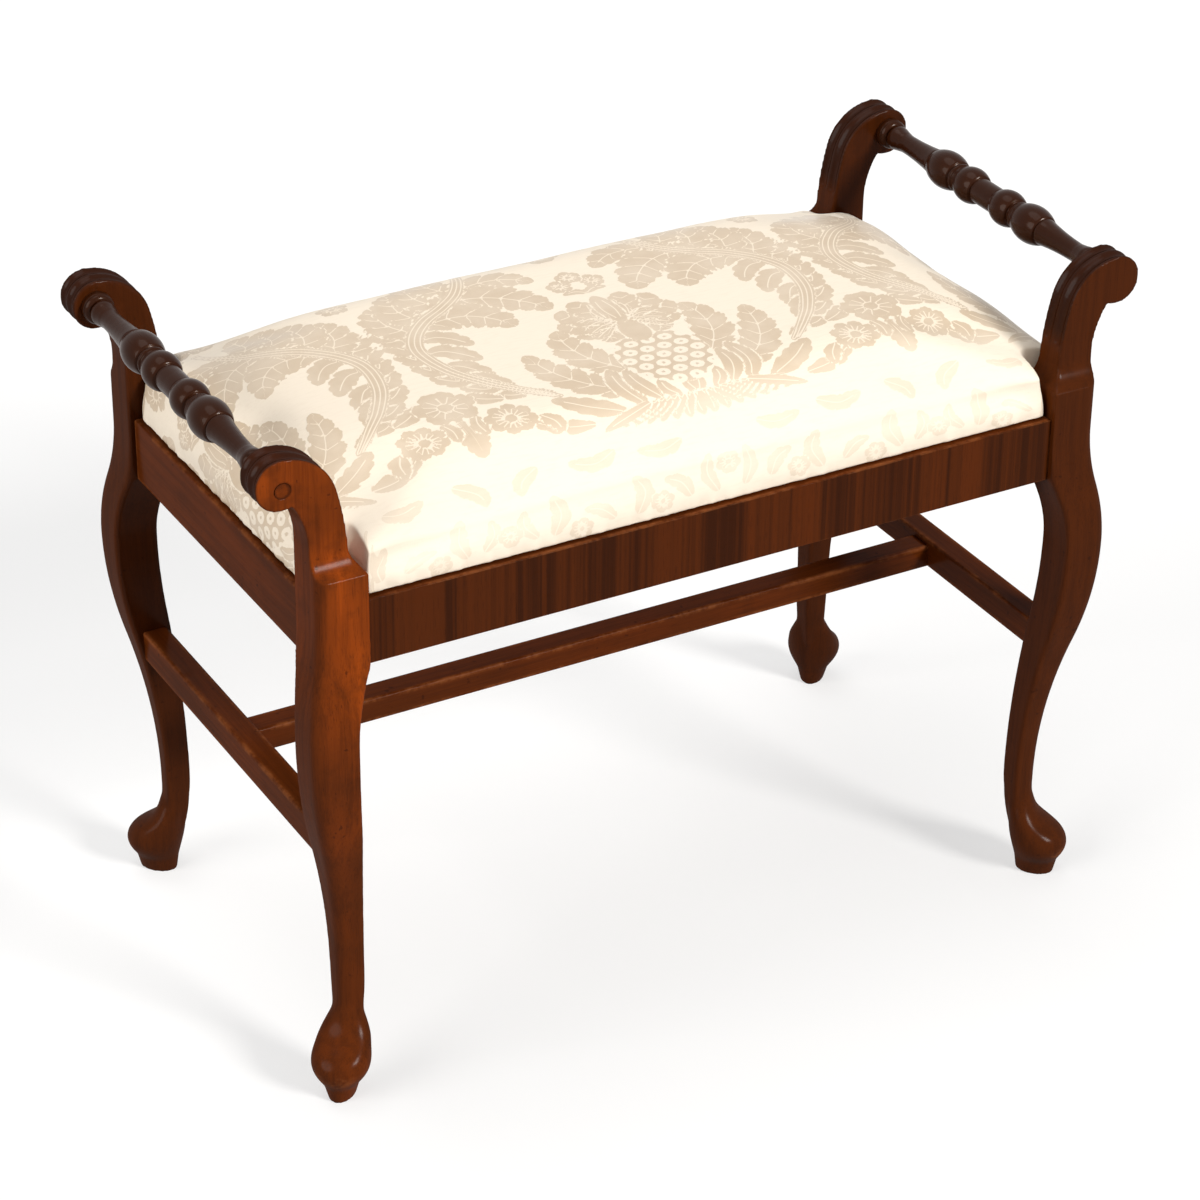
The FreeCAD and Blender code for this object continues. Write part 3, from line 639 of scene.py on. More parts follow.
def relaxed(mesh, height, reach, rounds, share):
    """Smooth a carved piece further about one height, where its curves run into each other."""
    place = coordinates(mesh)
    soft = averaged_rows(place, neighbours(mesh), rounds)
    near = share * np.exp(-((place[:, 2] - height) / reach) ** 2)
    place += (soft - place) * near[:, None]
    set_coordinates(mesh, place)


def lip_wear(place, facing):
    """Where the rounded lip of a foot is kicked bare: on its outer side."""
    outward = (facing[:, :2] * np.sign(place[:, :2])).sum(1) / 1.414
    return 0.70 * (np.exp(-((place[:, 2] - FOOT_LIP) / (6 * MM)) ** 2) * np.clip(2 * outward - 0.8, 0, 1))


def scroll_stain(mesh, place, facing):
    """Where a scroll is stained black: on faces that look along the bench, above the flutes' tips."""
    side = np.clip((1.0 - np.abs(facing[:, 1]) - 0.12) / 0.22, 0, 1)
    high = np.clip((place[:, 2] - FLUTE_TIP) / (18 * MM), 0, 1)
    # The hollow under the volute looks outward and down, and stays red
    hollow_end = LEG_HIGH.x - 41.3 * MM
    out = np.abs(place[:, 0]) - hollow_end
    below = place[:, 2] < VOLUTE_MIDDLE
    under = (facing[:, 0] * np.sign(place[:, 0]) > 0.05) & below & (out < 12 * MM)
    stain = side * high
    stain[under] = 0.0
    return averaged(stain, neighbours(mesh), 1)


def bleach_and_shade_reading(bleach_and_shade, place, facing):
    """How far a leg is bleached, and below zero how far painted shade darkens it: less on its left faces,
    which puts painted shade on the left faces of bleached legs, and more evenly where it is dark.
    """
    shares = np.interp(place[:, 2], BLEACH_AND_SHADE_HEIGHTS, BLEACH_AND_SHADE_SHARES)
    # Painted shade: legs below zero are darkened evenly up the leg
    if bleach_and_shade < 0:
        shares = np.maximum(shares, 0.75)
    # Painted shade: the left faces are bleached less, so they are painted darker
    return bleach_and_shade * shares * (1.0 - 0.75 * np.clip(-facing[:, 0], 0, 1))


class BENCH_OT_legs(bpy.types.Operator):
    """Ease the carved legs, read their worn edges, the black stain of their scrolls and their bleaching with
    painted shade, and polish them
    """

    bl_idname = "bench.legs"
    bl_label = "Legs"

    def execute(self, context):
        wood = context.scene.bench_wood
        for number, corner in enumerate(CORNERS):
            leg = softened(f"{corner}_leg_carved", f"{corner}_leg", wood.voxel, wood.passes, wood.keep)
            mesh = leg.data
            relaxed(mesh, ANKLE, 20 * MM, 18, 0.9)
            relaxed(mesh, RAIL_LOW.z, 16 * MM, 14, 0.8)
            place = coordinates(mesh)
            facing = normals(mesh)
            write_reading(mesh, "edge", edge_reading(mesh) + lip_wear(place, facing))
            write_reading(mesh, "stain", scroll_stain(mesh, place, facing))
            # Bleaching, with painted shade on the left faces and on the rear legs
            write_reading(mesh, "bleach_and_shade", bleach_and_shade_reading(BLEACH_AND_SHADE[corner], place, facing))
            shift = (0.37 * number, 0.61 * number, 0.23 * number)
            finish = polished(f"{corner} leg polish", "Z", shift, True)
            placed(leg, "frame", "polished_mahogany", finish, f"{corner}_leg")
        context.view_layer.update()
        covered("front_left_plug", plugged("plug polish"))
        return {"FINISHED"}


def plane_bars(axes, shift):
    """Straight polished bars with eased edges, their grain along the given axes, each from another board."""
    wood = bpy.context.scene.bench_wood
    for number, (name, axis) in enumerate(axes.items()):
        low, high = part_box(name)
        bar = rounded_bar(f"{name}_planed", low, high, wood.eased)
        finish = polished(f"{name} polish", axis, [part * number for part in shift])
        placed(bar, "frame", "polished_mahogany", finish, name)


class BENCH_OT_rails(bpy.types.Operator):
    """Make the rails and their veneer as planed bars with eased edges"""

    bl_idname = "bench.rails"
    bl_label = "Rails"

    def execute(self, context):
        axes = {"front_rail": "X", "rear_rail": "X", "left_side_rail": "Y", "right_side_rail": "Y"}
        plane_bars(axes, (0.2, 0.9, 0.4))
        thin = 0.4 * MM
        finish = veneered("veneer polish")
        for name in ("front_rail_veneer", "rear_rail_veneer"):
            low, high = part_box(name)
            placed(rounded_bar(f"{name}_leaf", low, high, thin), "frame", "cross_grain_veneer", finish, name)
        return {"FINISHED"}


class BENCH_OT_stretchers(bpy.types.Operator):
    """Make the H-stretcher's three bars with eased edges"""

    bl_idname = "bench.stretchers"
    bl_label = "Stretchers"

    def execute(self, context):
        axes = {"left_stretcher": "Y", "right_stretcher": "Y", "centre_stretcher": "X"}
        plane_bars(axes, (0.7, 0.3, 0.5))
        return {"FINISHED"}


class BENCH_OT_handles(bpy.types.Operator):
    """Spin the handles from their outline and give them their black polish"""

    bl_idname = "bench.handles"
    bl_label = "Handles"

    def execute(self, context):
        for number, name in enumerate(("left_handle", "right_handle")):
            handle = spun(f"{name}_turned", name, [at * MM for at in (14.5, 39.5, 47.5, 80.5, 146.5, 151)])
            write_reading(handle.data, "edge", edge_reading(handle.data))
            finish = turned(f"{name} polish", (0.3 * number, 0, 0.6))
            placed(handle, "frame", "dark_turned_wood", finish, name)
        return {"FINISHED"}


class BENCH_OT_inside(bpy.types.Operator):
    """Give the corner blocks, dowels, seat board and tacks their bare finishes"""

    bl_idname = "bench.inside"
    bl_label = "Inside pieces"

    def execute(self, context):
        block = sawn("corner block wood", "Z")
        for corner in CORNERS:
            covered(f"{corner}_corner_block", block)
        covered("rail_dowels", sawn("dowel wood", "X", (0.2, 0.1, 0.4)))
        covered("seat_board", sawn("board wood", "X", (0.6, 0.8, 0.1)))
        covered("seat_tacks", blued_steel("tack steel"))
        return {"FINISHED"}


def cushion_outline(inset):
    """The seat's plan, notched round the four posts, as points in order."""
    end = SEAT_HIGH.x - inset
    side = SEAT_HIGH.y - inset
    gap = 2.5 * MM
    notch_x = LEG_LOW.x - gap - inset
    notch_y = LEG_LOW.y - gap - inset
    points = []
    for sign_x, sign_y in ((1, 1), (-1, 1), (-1, -1), (1, -1)):
        corner = [(end, notch_y), (notch_x, notch_y), (notch_x, side)]
        if sign_x != sign_y:
            corner.reverse()
        points += [(sign_x * x, sign_y * y) for x, y in corner]
    return points


def rounding(inside, reach):
    """A full quarter round: 0 at the edge, 1 from reach inwards."""
    return np.clip(1.0 - (1.0 - np.clip(inside / reach, 0, 1)) ** 2.2, 0, 1) ** 0.5


def crown(x, y):
    """How far the padding has risen from its edge, between 0 and 1: long in the middle, quick at the ends."""
    out = (x / SEAT_HIGH.x) ** 2
    end_reach = 30 * MM
    side_reach = (82 + 65 * out) * MM
    ends = rounding(SEAT_HIGH.x - np.abs(x), end_reach)
    sides = rounding(SEAT_HIGH.y - np.abs(y), side_reach)
    swell = 1.0 - 0.10 * out - 0.34 * out ** 3 - 0.12 * (y / SEAT_HIGH.y) ** 2
    return ends * sides * swell


def cushion_blank(inset, voxel):
    """A closed, slightly small cushion before it swells."""
    made = bmesh.new()
    base = [made.verts.new((x, y, SEAT_LOW.z + 0.4 * MM)) for x, y in cushion_outline(inset)]
    bottom = made.faces.new(base)
    raised = bmesh.ops.extrude_face_region(made, geom=[bottom])["geom"]
    for vertex in (item for item in raised if isinstance(item, bmesh.types.BMVert)):
        vertex.co.z = SEAT_HIGH.z
    bmesh.ops.recalc_face_normals(made, faces=made.faces)
    piece = linked("seat_cushion", meshed("blank", made))
    add_grid(piece, voxel)
    mesh = applied(piece)
    place = coordinates(mesh)
    edge = 33 * MM
    full = SEAT_HIGH.z - 5 * MM - SEAT_LOW.z
    top = SEAT_LOW.z + edge + (full - edge) * crown(place[:, 0], place[:, 1])
    share = (place[:, 2] - SEAT_LOW.z) / (SEAT_HIGH.z - SEAT_LOW.z)
    place[:, 2] = SEAT_LOW.z + (top - SEAT_LOW.z) * share
    set_coordinates(mesh, place)
    return piece


CLOTH = {
    "quality": 6,
    "mass": 0.3,
    "tension_stiffness": 18,
    "compression_stiffness": 18,
    "shear_stiffness": 8,
    "bending_stiffness": 1.5,
    "use_pressure": True,
    "vertex_group_mass": "held",
}


def swell(piece, pressure, cap):
    """Swell the cushion under its cloth, held along its lower edge, and keep every point within the cap."""
    start = coordinates(piece.data)
    held = piece.vertex_groups.new(name="held")
    held_height = 13 * MM
    low = np.nonzero(start[:, 2] < SEAT_LOW.z + held_height)[0]
    held.add([int(n) for n in low], 1.0, "REPLACE")
    settings = piece.modifiers.new("Cloth", "CLOTH").settings
    for name, value in CLOTH.items():
        setattr(settings, name, value)
    settings.uniform_pressure_force = pressure
    settings.effector_weights.gravity = 0
    scene = bpy.context.scene
    frames = 20
    for step in range(frames):
        scene.frame_set(step + 1)
    mesh = evaluated(piece)
    piece.modifiers.clear()
    scene.frame_set(1)
    moved = coordinates(mesh) - start
    far = np.linalg.norm(moved, axis=1, keepdims=True).clip(1e-9)
    moved *= np.minimum(1.0, cap / far)
    set_coordinates(mesh, start + averaged_rows(moved, neighbours(mesh), 25))
    piece.vertex_groups.clear()
    piece.data = mesh


def divided(piece):
    divide = piece.modifiers.new("Divide", "SUBSURF")
    divide.levels = 1
    divide.render_levels = 1
    smooth(applied(piece))


class Pattern:
    """A damask drawn in millimetres on cloth that is folded about its mirror lines.

    Each shape is laid over the ones before it and leaves a pale gap round itself. motif is the distance
    inside the nearest shape, and lines is a distance to the nearest drawn line, with a sign that changes
    across it.
    """

    far = 20.0
    frilled_width = 13

    def __init__(self, across, down):
        self.at = np.stack([across, down], 1)
        self.motif = np.full(len(across), -self.far)
        self.lines = np.full(len(across), self.far)

    def near(self, points, reach):
        low = points.min(0) - reach
        high = points.max(0) + reach
        return np.nonzero(((self.at > low) & (self.at < high)).all(1))[0]

    def follow(self, route, reach):
        """The places near a bent route, how far along it they lie, their offsets, and the route's length."""
        path = bent(route)
        which = self.near(path, reach)
        return which, *beside(path, self.at[which])

    def around(self, centre, reach):
        middle = np.array([centre], float)
        which = self.near(middle, reach)
        return which, self.at[which] - middle

    def lay(self, which, inside, lines, gap=1.6):
        self.motif[which] = np.maximum(np.minimum(self.motif[which], -inside - gap), inside)
        covering = inside > -gap
        self.lines[which[covering]] = lines[covering]

    def leaf(self, route, width, lobes=0, deep=0.32, rib=True, widest=0.45):
        """A leaf along a bent midrib, its edge cut in rounded lobes that lean to the tip, a vein in each."""
        which, along, offset, long = self.follow(route, width * 1.4 + 4)
        body = np.sin(math.pi * along ** (math.log(0.5) / math.log(widest))) ** 0.5
        aside = np.abs(offset) / width
        step = along * lobes - 0.85 * aside
        frilled = lobes and width > self.frilled_width
        notch = 1.0 - np.abs(np.sin(math.pi * step)) ** 0.6 if lobes else 0.0
        frill = 1.0 - np.abs(np.sin(3 * math.pi * step)) ** 0.7 if frilled else 0.0
        inside = width * body * (1.0 - deep * notch - 0.15 * frill) - np.abs(offset)
        lines = np.full(len(which), self.far)
        if frilled:
            wave = (2.0 * np.abs((step + 0.5) % 2.0 - 1.0) - 1.0) * long / lobes * 0.5
            lines = np.where(aside > 0.62 * body, np.sign(wave) * self.far, wave)
        if rib:
            spine = np.where(along < 0.86, offset, np.sign(offset) * self.far)
            lines = np.where(np.abs(spine) < np.abs(lines), np.abs(spine) * np.sign(spine) * np.sign(lines),
                             lines * np.sign(spine))
        self.lay(which, inside * 0.85, lines)

    def stem(self, route, width):
        """A stem with a pale line down its middle and down each side."""
        which, along, offset, _ = self.follow(route, width + 4)
        taper = width * (0.40 + 0.60 * np.sin(math.pi * np.clip(along, 0.02, 0.98)) ** 0.6)
        side = np.abs(offset) - taper * 0.66
        lines = np.minimum(np.abs(offset), np.abs(side)) * np.sign(offset) * np.sign(side)
        self.lay(which, taper - np.abs(offset), lines, 0.9)

    def vein(self, route):
        """A pale line drawn over what lies there."""
        reach = 4
        which, along, offset, _ = self.follow(route, reach)
        closer = np.abs(offset) < np.minimum(np.abs(self.lines[which]), reach)
        closer &= (along > 0.001) & (along < 0.999)
        self.lines[which[closer]] = offset[closer]

    def flower(self, centre, radius, petals, turn=0.0, eye=0.24):
        """An open flower: notched petals, fine lines from its eye."""
        which, place = self.around(centre, radius * 1.2)
        out = np.hypot(place[:, 0], place[:, 1])
        angle = np.arctan2(place[:, 0], place[:, 1]) + turn
        petal = np.abs(np.cos(petals * angle / 2)) ** 0.55
        frill = np.abs(np.cos(petals * angle * 1.5)) ** 0.8
        inside = radius * (0.66 + 0.27 * petal + 0.07 * frill) - out
        ray = np.abs((angle * petals / math.pi) % 2.0 - 1.0) - 0.5
        rayed = (out > eye * radius) & (out < 0.68 * radius)
        lines = np.where(rayed, ray * math.pi / petals * out, self.far)
        ring = out - eye * radius
        lines = np.where(np.abs(ring) < np.abs(lines), ring, lines)
        self.lay(which, inside, lines)

    def scales(self, centre, half_width, half_height):
        """A fruit covered in pale scales, each with a dot."""
        row_height = 13.0
        scale_width = 15.5
        ring = 5.6
        dot = 1.7
        margin = 1.3
        which, place = self.around(centre, max(half_width, half_height) + 4)
        out = np.hypot(place[:, 0] / half_width, place[:, 1] / half_height)
        inside = (1.0 - out) * min(half_width, half_height)
        row = np.round(place[:, 1] / row_height)
        across = place[:, 0] / scale_width + 0.5 * (row % 2)
        scale = np.hypot((across - np.round(across)) * scale_width / 1.1, place[:, 1] - row * row_height)
        scale = np.maximum(scale - ring, dot - scale)
        self.lay(which, np.minimum(inside, scale), np.full(len(which), self.far))
        fruit = inside > -margin
        self.motif[which[fruit]] = np.minimum(self.motif[which[fruit]], scale[fruit])

def bent(route):
    """Points along a smooth curve through the given ones."""
    fixed = np.array(route, float)
    ends = np.vstack([2 * fixed[0] - fixed[1], fixed, 2 * fixed[-1] - fixed[-2]])
    steps = np.linspace(0, 1, 7)[:-1, None]
    runs = []
    for a, b, c, d in zip(ends, ends[1:], ends[2:], ends[3:]):
        runs.append(0.5 * (2 * b + (c - a) * steps + (2 * a - 5 * b + 4 * c - d) * steps ** 2
                           + (3 * b - a - 3 * c + d) * steps ** 3))
    return np.vstack([*runs, fixed[-1:]])


def beside(path, places):
    """How far along a path each place lies, from 0 to 1, its offset to the left, and the path's length."""
    runs = np.diff(path, axis=0)
    sizes = np.hypot(runs[:, 0], runs[:, 1])
    reached = np.concatenate([[0.0], np.cumsum(sizes)])
    nearest = np.full(len(places), np.inf)
    along = np.zeros(len(places))
    offset = np.zeros(len(places))
    for n, (start, run, size) in enumerate(zip(path, runs, sizes)):
        from_start = places - start
        part = np.clip((from_start @ run) / size ** 2, 0, 1)
        away = from_start - part[:, None] * run
        distance = np.hypot(away[:, 0], away[:, 1])
        side = np.sign(run[0] * from_start[:, 1] - run[1] * from_start[:, 0])
        better = distance < nearest
        nearest[better] = distance[better]
        along[better] = (reached[n] + part * size)[better]
        offset[better] = (distance * np.where(side == 0, 1, side))[better]
    return np.clip(along / reached[-1], 1e-4, 1 - 1e-4), offset, reached[-1]


def draw_branch(pattern):
    """The tall curved branch beside each mirror line: small leaves outside it, large ones inside."""
    for route, width, lobes in (
        ([(126, -74), (140, -72), (153, -62)], 8, 2),
        ([(140, -56), (155, -53), (170, -40)], 10, 3),
        ([(154, -36), (169, -30), (183, -15)], 11, 3),
        ([(163, -16), (177, -5), (186, 14)], 11, 3),
        ([(169, 6), (181, 20), (187, 39)], 12, 3),
        ([(170, 26), (182, 43), (185, 64)], 13, 4),
        ([(167, 44), (180, 65), (180, 92)], 15, 4),
        ([(158, 58), (172, 86), (168, 120)], 19, 5),
        ([(142, 74), (152, 104), (144, 140)], 19, 5),
        ([(118, 92), (130, 122), (122, 158)], 18, 5),
        ([(98, 110), (110, 138), (102, 172)], 17, 5),
        ([(100, 108), (76, 119), (50, 117), (28, 100)], 16, 5),
        ([(126, 84), (100, 97), (74, 89), (52, 68), (40, 46)], 23, 7),
        ([(153, 60), (132, 70), (108, 68), (90, 52), (80, 32)], 22, 6),
        ([(165, 44), (148, 45), (136, 35), (126, 18)], 12, 4),
        ([(169, 20), (154, 20), (142, 8), (132, -8)], 12, 4),
        ([(166, -6), (154, -9), (144, -23), (136, -39)], 11, 3),
        ([(158, -26), (148, -33), (138, -47), (130, -63)], 9, 3),
        ([(130, -66), (118, -78), (107, -84)], 7, 2),
    ):
        pattern.leaf(route, width if width < 14 else 1.12 * width, lobes)
    pattern.stem(
        [(108, -90), (130, -66), (148, -44), (165, -12), (171, 25), (162, 52), (142, 75), (117, 92),
         (95, 112), (80, 140), (74, 175)], 7.0
    )


def draw_fruit(pattern):
    """The fruit under an open palmette on the main mirror line, in a wreath of leaves."""
    for route, width, lobes in (
        ([(96, -136), (122, -130), (148, -112)], 10, 4),
        ([(66, -130), (92, -114), (117, -93)], 12, 4),
        ([(46, -110), (76, -86), (94, -54), (101, -18)], 19, 6),
        ([(36, -80), (56, -48), (62, -16), (57, 8)], 20, 5),
        ([(48, -126), (57, -100), (54, -70)], 9, 0),
        ([(32, -124), (42, -100), (42, -76)], 8, 0),
        ([(16, -126), (24, -114), (25, -100)], 6, 0),
        ([(0, -128), (4, -116), (6, -104)], 6, 0),
    ):
        pattern.leaf(route, width, lobes)
    pattern.scales((0, -66), 38, 44)
    for angle, reach, width in ((140, 45, 15), (112, 50, 17), (84, 54, 18), (56, 53, 17), (28, 49, 14)):
        side = math.sin(math.radians(angle))
        rise = math.cos(math.radians(angle))
        middle = (0.55 * reach * side + 3, 5 + 0.5 * reach * rise)
        pattern.leaf([(2, 4), middle, (reach * side, 6 + reach * rise)], width, 4, 0.26, False, 0.64)
    pattern.leaf([(0, 6), (0, -14), (0, -38)], 12, 0, rib=False, widest=0.6)
    pattern.leaf([(0, -2), (0, 24), (0, 52)], 10, 0, rib=False, widest=0.5)
    pattern.vein([(2, 6), (5, 24), (3, 42)])
    pattern.vein([(9, 4), (15, 22), (12, 40)])
    for turn in range(5):
        pattern.vein([(8, 4 - 2 * turn), (20, 15 - 8 * turn), (33, 12 - 10 * turn)])
    pattern.leaf([(0, 60), (9, 66), (20, 64)], 5, 0)
    for centre, radius in (((15, 80), 12), ((0, 93), 12)):
        pattern.flower(centre, radius, 5)
    for turn in range(8):
        foot = 10 * turn
        pattern.leaf([(2 + 0.6 * foot, -126), (6 + foot, -140), (5 + 1.25 * foot, -156 + 1.2 * turn)], 6, 0)


def draw_sprays(pattern):
    """Flowers and leaves between the branches, and those that go down the seat's sides."""
    for route, width, lobes in (
        ([(195, -90), (195, -114), (195, -142)], 13, 4),
        ([(180, -88), (184, -100), (182, -116)], 7, 2),
        ([(148, -74), (164, -66), (178, -52)], 9, 3),
        ([(134, -108), (126, -120), (124, -134)], 8, 3),
        ([(12, -240), (20, -220), (16, -200)], 7, 3),
        ([(34, -176), (52, -184), (74, -178)], 9, 4),
        ([(36, -238), (44, -222), (58, -214)], 8, 3),
        ([(84, -242), (76, -222), (84, -204)], 9, 3),
        ([(92, -170), (112, -180), (134, -172)], 10, 4),
        ([(104, -240), (116, -228), (130, -224)], 7, 3),
        ([(158, -242), (150, -222), (156, -202)], 9, 3),
        ([(160, -166), (176, -178), (180, -194)], 9, 4),
        ([(172, -240), (182, -226), (180, -210)], 7, 3),
        ([(0, 158), (22, 190), (30, 236)], 17, 5),
        ([(44, 156), (54, 190), (62, 230)], 15, 5),
        ([(150, 172), (166, 198), (172, 238)], 17, 5),
        ([(195, 168), (195, 200), (195, 236)], 12, 4),
        ([(112, 196), (124, 226), (120, 260)], 16, 5),
    ):
        pattern.leaf(route, width, lobes)
    for centre, radius, petals in (
        ((195, -66), 27, 6), ((157, -103), 22, 8), ((62, -236), 11, 6), ((134, -242), 11, 6),
        ((195, -232), 11, 5), ((0, -214), 12, 6), ((0, 150), 20, 6), ((84, 196), 17, 6), ((195, 138), 15, 6),
    ):
        pattern.flower(centre, radius, petals, 0.3)


def write_damask(mesh):
    """Fold the cloth about its mirror lines, let it run down the sides, and draw the pattern on it."""
    half = 195.0
    mirror_line = 10.0
    forward = 14.0
    place = coordinates(mesh) / MM
    drop = np.clip(place[:, 2].max() - 4.0 - place[:, 2], 0, None)
    sideways = np.abs(averaged_rows(normals(mesh)[:, :2], neighbours(mesh), 12)) + 1e-3
    share = sideways / sideways.sum(1, keepdims=True)
    cloth = place[:, :2] + np.sign(place[:, :2]) * drop[:, None] * share
    folded = half - np.abs((cloth[:, 0] - mirror_line) % (2 * half) - half)
    pattern = Pattern(folded, cloth[:, 1] + forward)
    draw_branch(pattern)
    draw_fruit(pattern)
    draw_sprays(pattern)
    write_reading(mesh, "motif", pattern.motif)
    write_reading(mesh, "lines", pattern.lines)


def weave_group(name):
    """Crossed threads as a height, finer than the pattern, with slubs."""
    tree, nodes, given, result = new_group(name, {"Vector": VECTOR}, ("Height", "Slubs"))
    warp = nodes.fibres(given["Vector"], (2200, 160, 160), 1.0, 0.5)
    weft = nodes.fibres(given["Vector"], (160, 2200, 2200), 1.0, 0.5)
    slubs = nodes.fibres(given["Vector"], (70, 420, 420), 3.0, 0.6)
    nodes.fill(result, Height=nodes.plus(warp, weft), Slubs=slubs)
    return tree


def damask(name):
    """Cream damask: a matt ground and satin leaves, painted faint along the front roll of the seat as a
    painted sheen, where the satin catches the light.
    """
    seat = bpy.context.scene.bench_seat
    made, nodes, shader = new_material(name)
    place = nodes.place()
    weave = nodes.group("Weave", weave_group, Vector=place)
    ragged = nodes.less(nodes.fibres(place, (900, 500, 500), 2.0, 0.6), 0.5)
    edge = nodes.plus(nodes.reading("motif"), nodes.times(ragged, 1.6))
    satin = nodes.between(edge, -0.35, 0.35)
    drawn = nodes.between(nodes.math("ABSOLUTE", nodes.reading("lines")), 0.75, 0.30)
    satin = nodes.times(satin, nodes.less(1.0, nodes.times(drawn, 0.85)))
    forward = nodes.add("ShaderNodeSeparateXYZ", Vector=place).outputs[1]
    # Painted sheen: the satin fades towards the ground colour along the front roll
    satin = nodes.times(satin, nodes.between(forward, -0.118, -0.165, 1.0, 0.42))
    uneven = nodes.between(nodes.noise(place, 26.0, 4.0, 0.6), 0.35, 0.70)
    tone = nodes.mix(satin, seat.ground, nodes.over(seat.motif, seat.ground, uneven, 0.25))
    tone = nodes.over(tone, seat.slub, nodes.between(weave["Slubs"], 0.45, 0.75), 0.10)
    height = nodes.plus(nodes.times(weave["Height"], 0.5), nodes.times(satin, 0.8))
    nodes.fill(
        shader,
        Base_Color=tone,
        Roughness=nodes.between(satin, 0.0, 1.0, 0.62, 0.42),
        Coat_Weight=nodes.times(satin, 0.40),
        Coat_Roughness=0.42,
        Specular_IOR_Level=0.5,
        Sheen_Weight=0.12,
        Sheen_Roughness=0.4,
        Normal=nodes.bump(0.35, 0.35 * MM, height),
    )
    return made


def tucked(mesh):
    """Small pulls along the lower edge, where the cloth is drawn under the board and tacked."""
    place = coordinates(mesh)
    facing = normals(mesh)
    rise = place[:, 2] - SEAT_LOW.z
    reach = 11 * MM
    depth = 0.9 * MM
    low = np.exp(-(rise / reach) ** 2) * np.clip(1.0 - np.abs(facing[:, 2]), 0, 1)
    run = np.where(np.abs(facing[:, 1]) > np.abs(facing[:, 0]), place[:, 0], place[:, 1])
    pulls = 0.0
    for scale, phase, size in ((41, 0.4, 0.55), (67, 1.9, 0.45), (113, 0.8, 0.30), (23, 2.7, 0.5)):
        pulls = pulls + size * np.sin(2 * math.pi * scale * run + phase + 9 * np.sin(7 * run + phase))
    place += facing * (low * pulls * depth)[:, None]
    set_coordinates(mesh, place)


def hollowed(piece, margin, thickness):
    """Take the underside out, inside the turned-under margin, and give the cloth its thickness."""
    made = bmesh.new()
    made.from_mesh(piece.data)
    end = SEAT_HIGH.x - margin
    side = SEAT_HIGH.y - margin
    gone = []
    for face in made.faces:
        middle = face.calc_center_median()
        if face.normal.z < -0.8 and abs(middle.x) < end and abs(middle.y) < side:
            gone.append(face)
    bmesh.ops.delete(made, geom=gone, context="FACES")
    made.to_mesh(piece.data)
    made.free()
    thick = piece.modifiers.new("Cloth thickness", "SOLIDIFY")
    thick.thickness = thickness
    thick.offset = -1.0
    smooth(applied(piece))


class BENCH_OT_seat(bpy.types.Operator):
    """Swell the padded seat under its damask and turn the cover under the board"""

    bl_idname = "bench.seat"
    bl_label = "Seat"

    def execute(self, context):
        seat = context.scene.bench_seat
        cushion = cushion_blank(1.2 * MM, seat.voxel)
        swell(cushion, seat.pressure, seat.cap)
        divided(cushion)
        write_damask(cushion.data)
        tucked(cushion.data)
        hollowed(cushion, seat.margin, seat.cloth)
        placed(cushion, "seat", "damask", damask("damask"), "seat_cover", "seat_filling")
        return {"FINISHED"}


def seen_directly(nodes):
    """1 where the background is looked at or mirrored, 0 where it only lights something."""
    path = nodes.add("ShaderNodeLightPath").outputs
    seen = nodes.math("MAXIMUM", path["Is Camera Ray"], path["Is Glossy Ray"])
    return nodes.math("MAXIMUM", seen, path["Is Transmission Ray"])


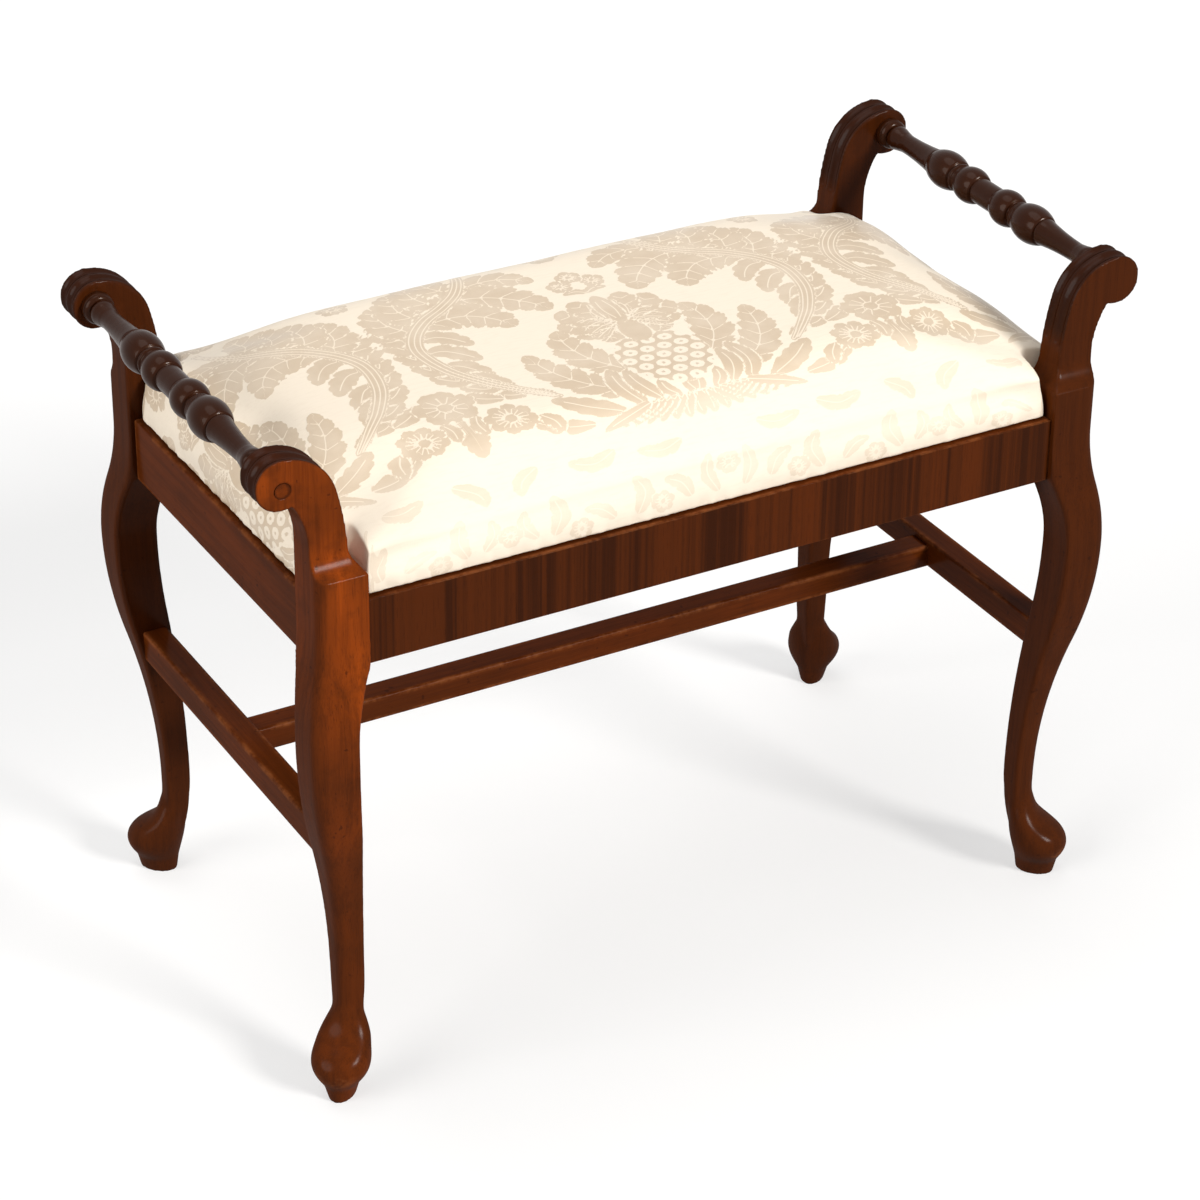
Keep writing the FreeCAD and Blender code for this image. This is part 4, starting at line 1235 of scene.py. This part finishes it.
class BENCH_OT_stage(bpy.types.Operator):
    """Set up the camera, the pale floor and the soft lights"""

    bl_idname = "bench.stage"
    bl_label = "Stage"

    def execute(self, context):
        scene = context.scene
        stage = scene.bench_stage
        scene.view_settings.view_transform = "Standard"
        self.camera(scene, stage)
        self.floor(stage)
        self.lights()
        self.world(scene, stage)
        return {"FINISHED"}

    @staticmethod
    def camera(scene, stage):
        back = (Vector(stage.eye) - Vector(stage.target)).normalized()
        right = Vector((0, 0, 1)).cross(back).normalized()
        up = back.cross(right)
        turned_right = math.cos(stage.roll) * right + math.sin(stage.roll) * up
        turned_up = back.cross(turned_right)
        data = bpy.data.cameras.new("camera")
        data.lens = stage.lens
        data.sensor_width = 36.0
        camera = linked("camera", data)
        turn = Matrix((turned_right, turned_up, back)).transposed()
        camera.matrix_world = Matrix.Translation(stage.eye) @ turn.to_4x4()
        scene.camera = camera

    @staticmethod
    def floor(stage):
        made = bmesh.new()
        bmesh.ops.create_grid(made, x_segments=2, y_segments=2, size=12.0)
        floor = linked("floor", meshed("floor", made))
        material, nodes, shader = new_material("floor paint")
        nodes.fill(
            shader,
            Base_Color=stage.floor,
            Roughness=0.9,
            Specular_IOR_Level=0.0,
            Emission_Color=(1.0, 1.0, 1.0),
            Emission_Strength=nodes.times(seen_directly(nodes), stage.glow),
        )
        floor.data.materials.append(material)

    @staticmethod
    def lights():
        # Name, direction of the light, strength, angle across in degrees, tint
        for name, toward, strength, spread, tint in (
            ("key", (-0.36, 0.80, -0.48), 2.85, 15, (1.0, 0.98, 0.95)),
            ("fill", (0.90, 0.08, -0.43), 1.85, 40, (1.0, 0.98, 0.95)),
            ("top", (0.10, -0.25, -0.96), 0.82, 40, (1.0, 1.0, 1.0)),
        ):
            data = bpy.data.lights.new(name, "SUN")
            data.energy = strength
            data.angle = math.radians(spread)
            data.color = tint
            lamp = linked(name, data)
            lamp.matrix_world = Vector(toward).to_track_quat("-Z", "Y").to_matrix().to_4x4()

    @staticmethod
    def world(scene, stage):
        world = bpy.data.worlds.new("studio")
        scene.world = world
        world.use_nodes = True
        world.node_tree.nodes.clear()
        nodes = Nodes(world.node_tree)
        seen = seen_directly(nodes)
        strength = nodes.add("ShaderNodeMapRange", Value=seen, To_Min=stage.ambient, To_Max=1.0)
        background = nodes.add("ShaderNodeBackground", Color=(1, 1, 1), Strength=strength.outputs[0])
        output = nodes.add("ShaderNodeOutputWorld")
        nodes.put(background.outputs[0], output.inputs[0])


OPERATORS = (
    BENCH_OT_legs,
    BENCH_OT_rails,
    BENCH_OT_stretchers,
    BENCH_OT_handles,
    BENCH_OT_inside,
    BENCH_OT_seat,
    BENCH_OT_stage,
)


class BENCH_PT_panel(bpy.types.Panel):
    """Steps that finish the bench"""

    bl_label = "Scrolled bench"
    bl_idname = "BENCH_PT_panel"
    bl_space_type = "VIEW_3D"
    bl_region_type = "UI"
    bl_category = "Bench"

    def draw(self, context):
        for group in SETTINGS:
            box = self.layout.box()
            for name in SETTINGS[group].__annotations__:
                box.prop(getattr(context.scene, group), name)
        for operator in OPERATORS:
            self.layout.operator(operator.bl_idname)


CLASSES = (*SETTINGS.values(), *OPERATORS, BENCH_PT_panel)


def register():
    for item in CLASSES:
        bpy.utils.register_class(item)
    for name, group in SETTINGS.items():
        setattr(bpy.types.Scene, name, PointerProperty(type=group))


def unregister():
    for name in SETTINGS:
        delattr(bpy.types.Scene, name)
    for item in reversed(CLASSES):
        bpy.utils.unregister_class(item)


def main():
    register()
    bpy.ops.bench.legs()
    bpy.ops.bench.rails()
    bpy.ops.bench.stretchers()
    bpy.ops.bench.handles()
    bpy.ops.bench.inside()
    bpy.ops.bench.seat()
    bpy.ops.bench.stage()


if __name__ == "__main__":
    main()
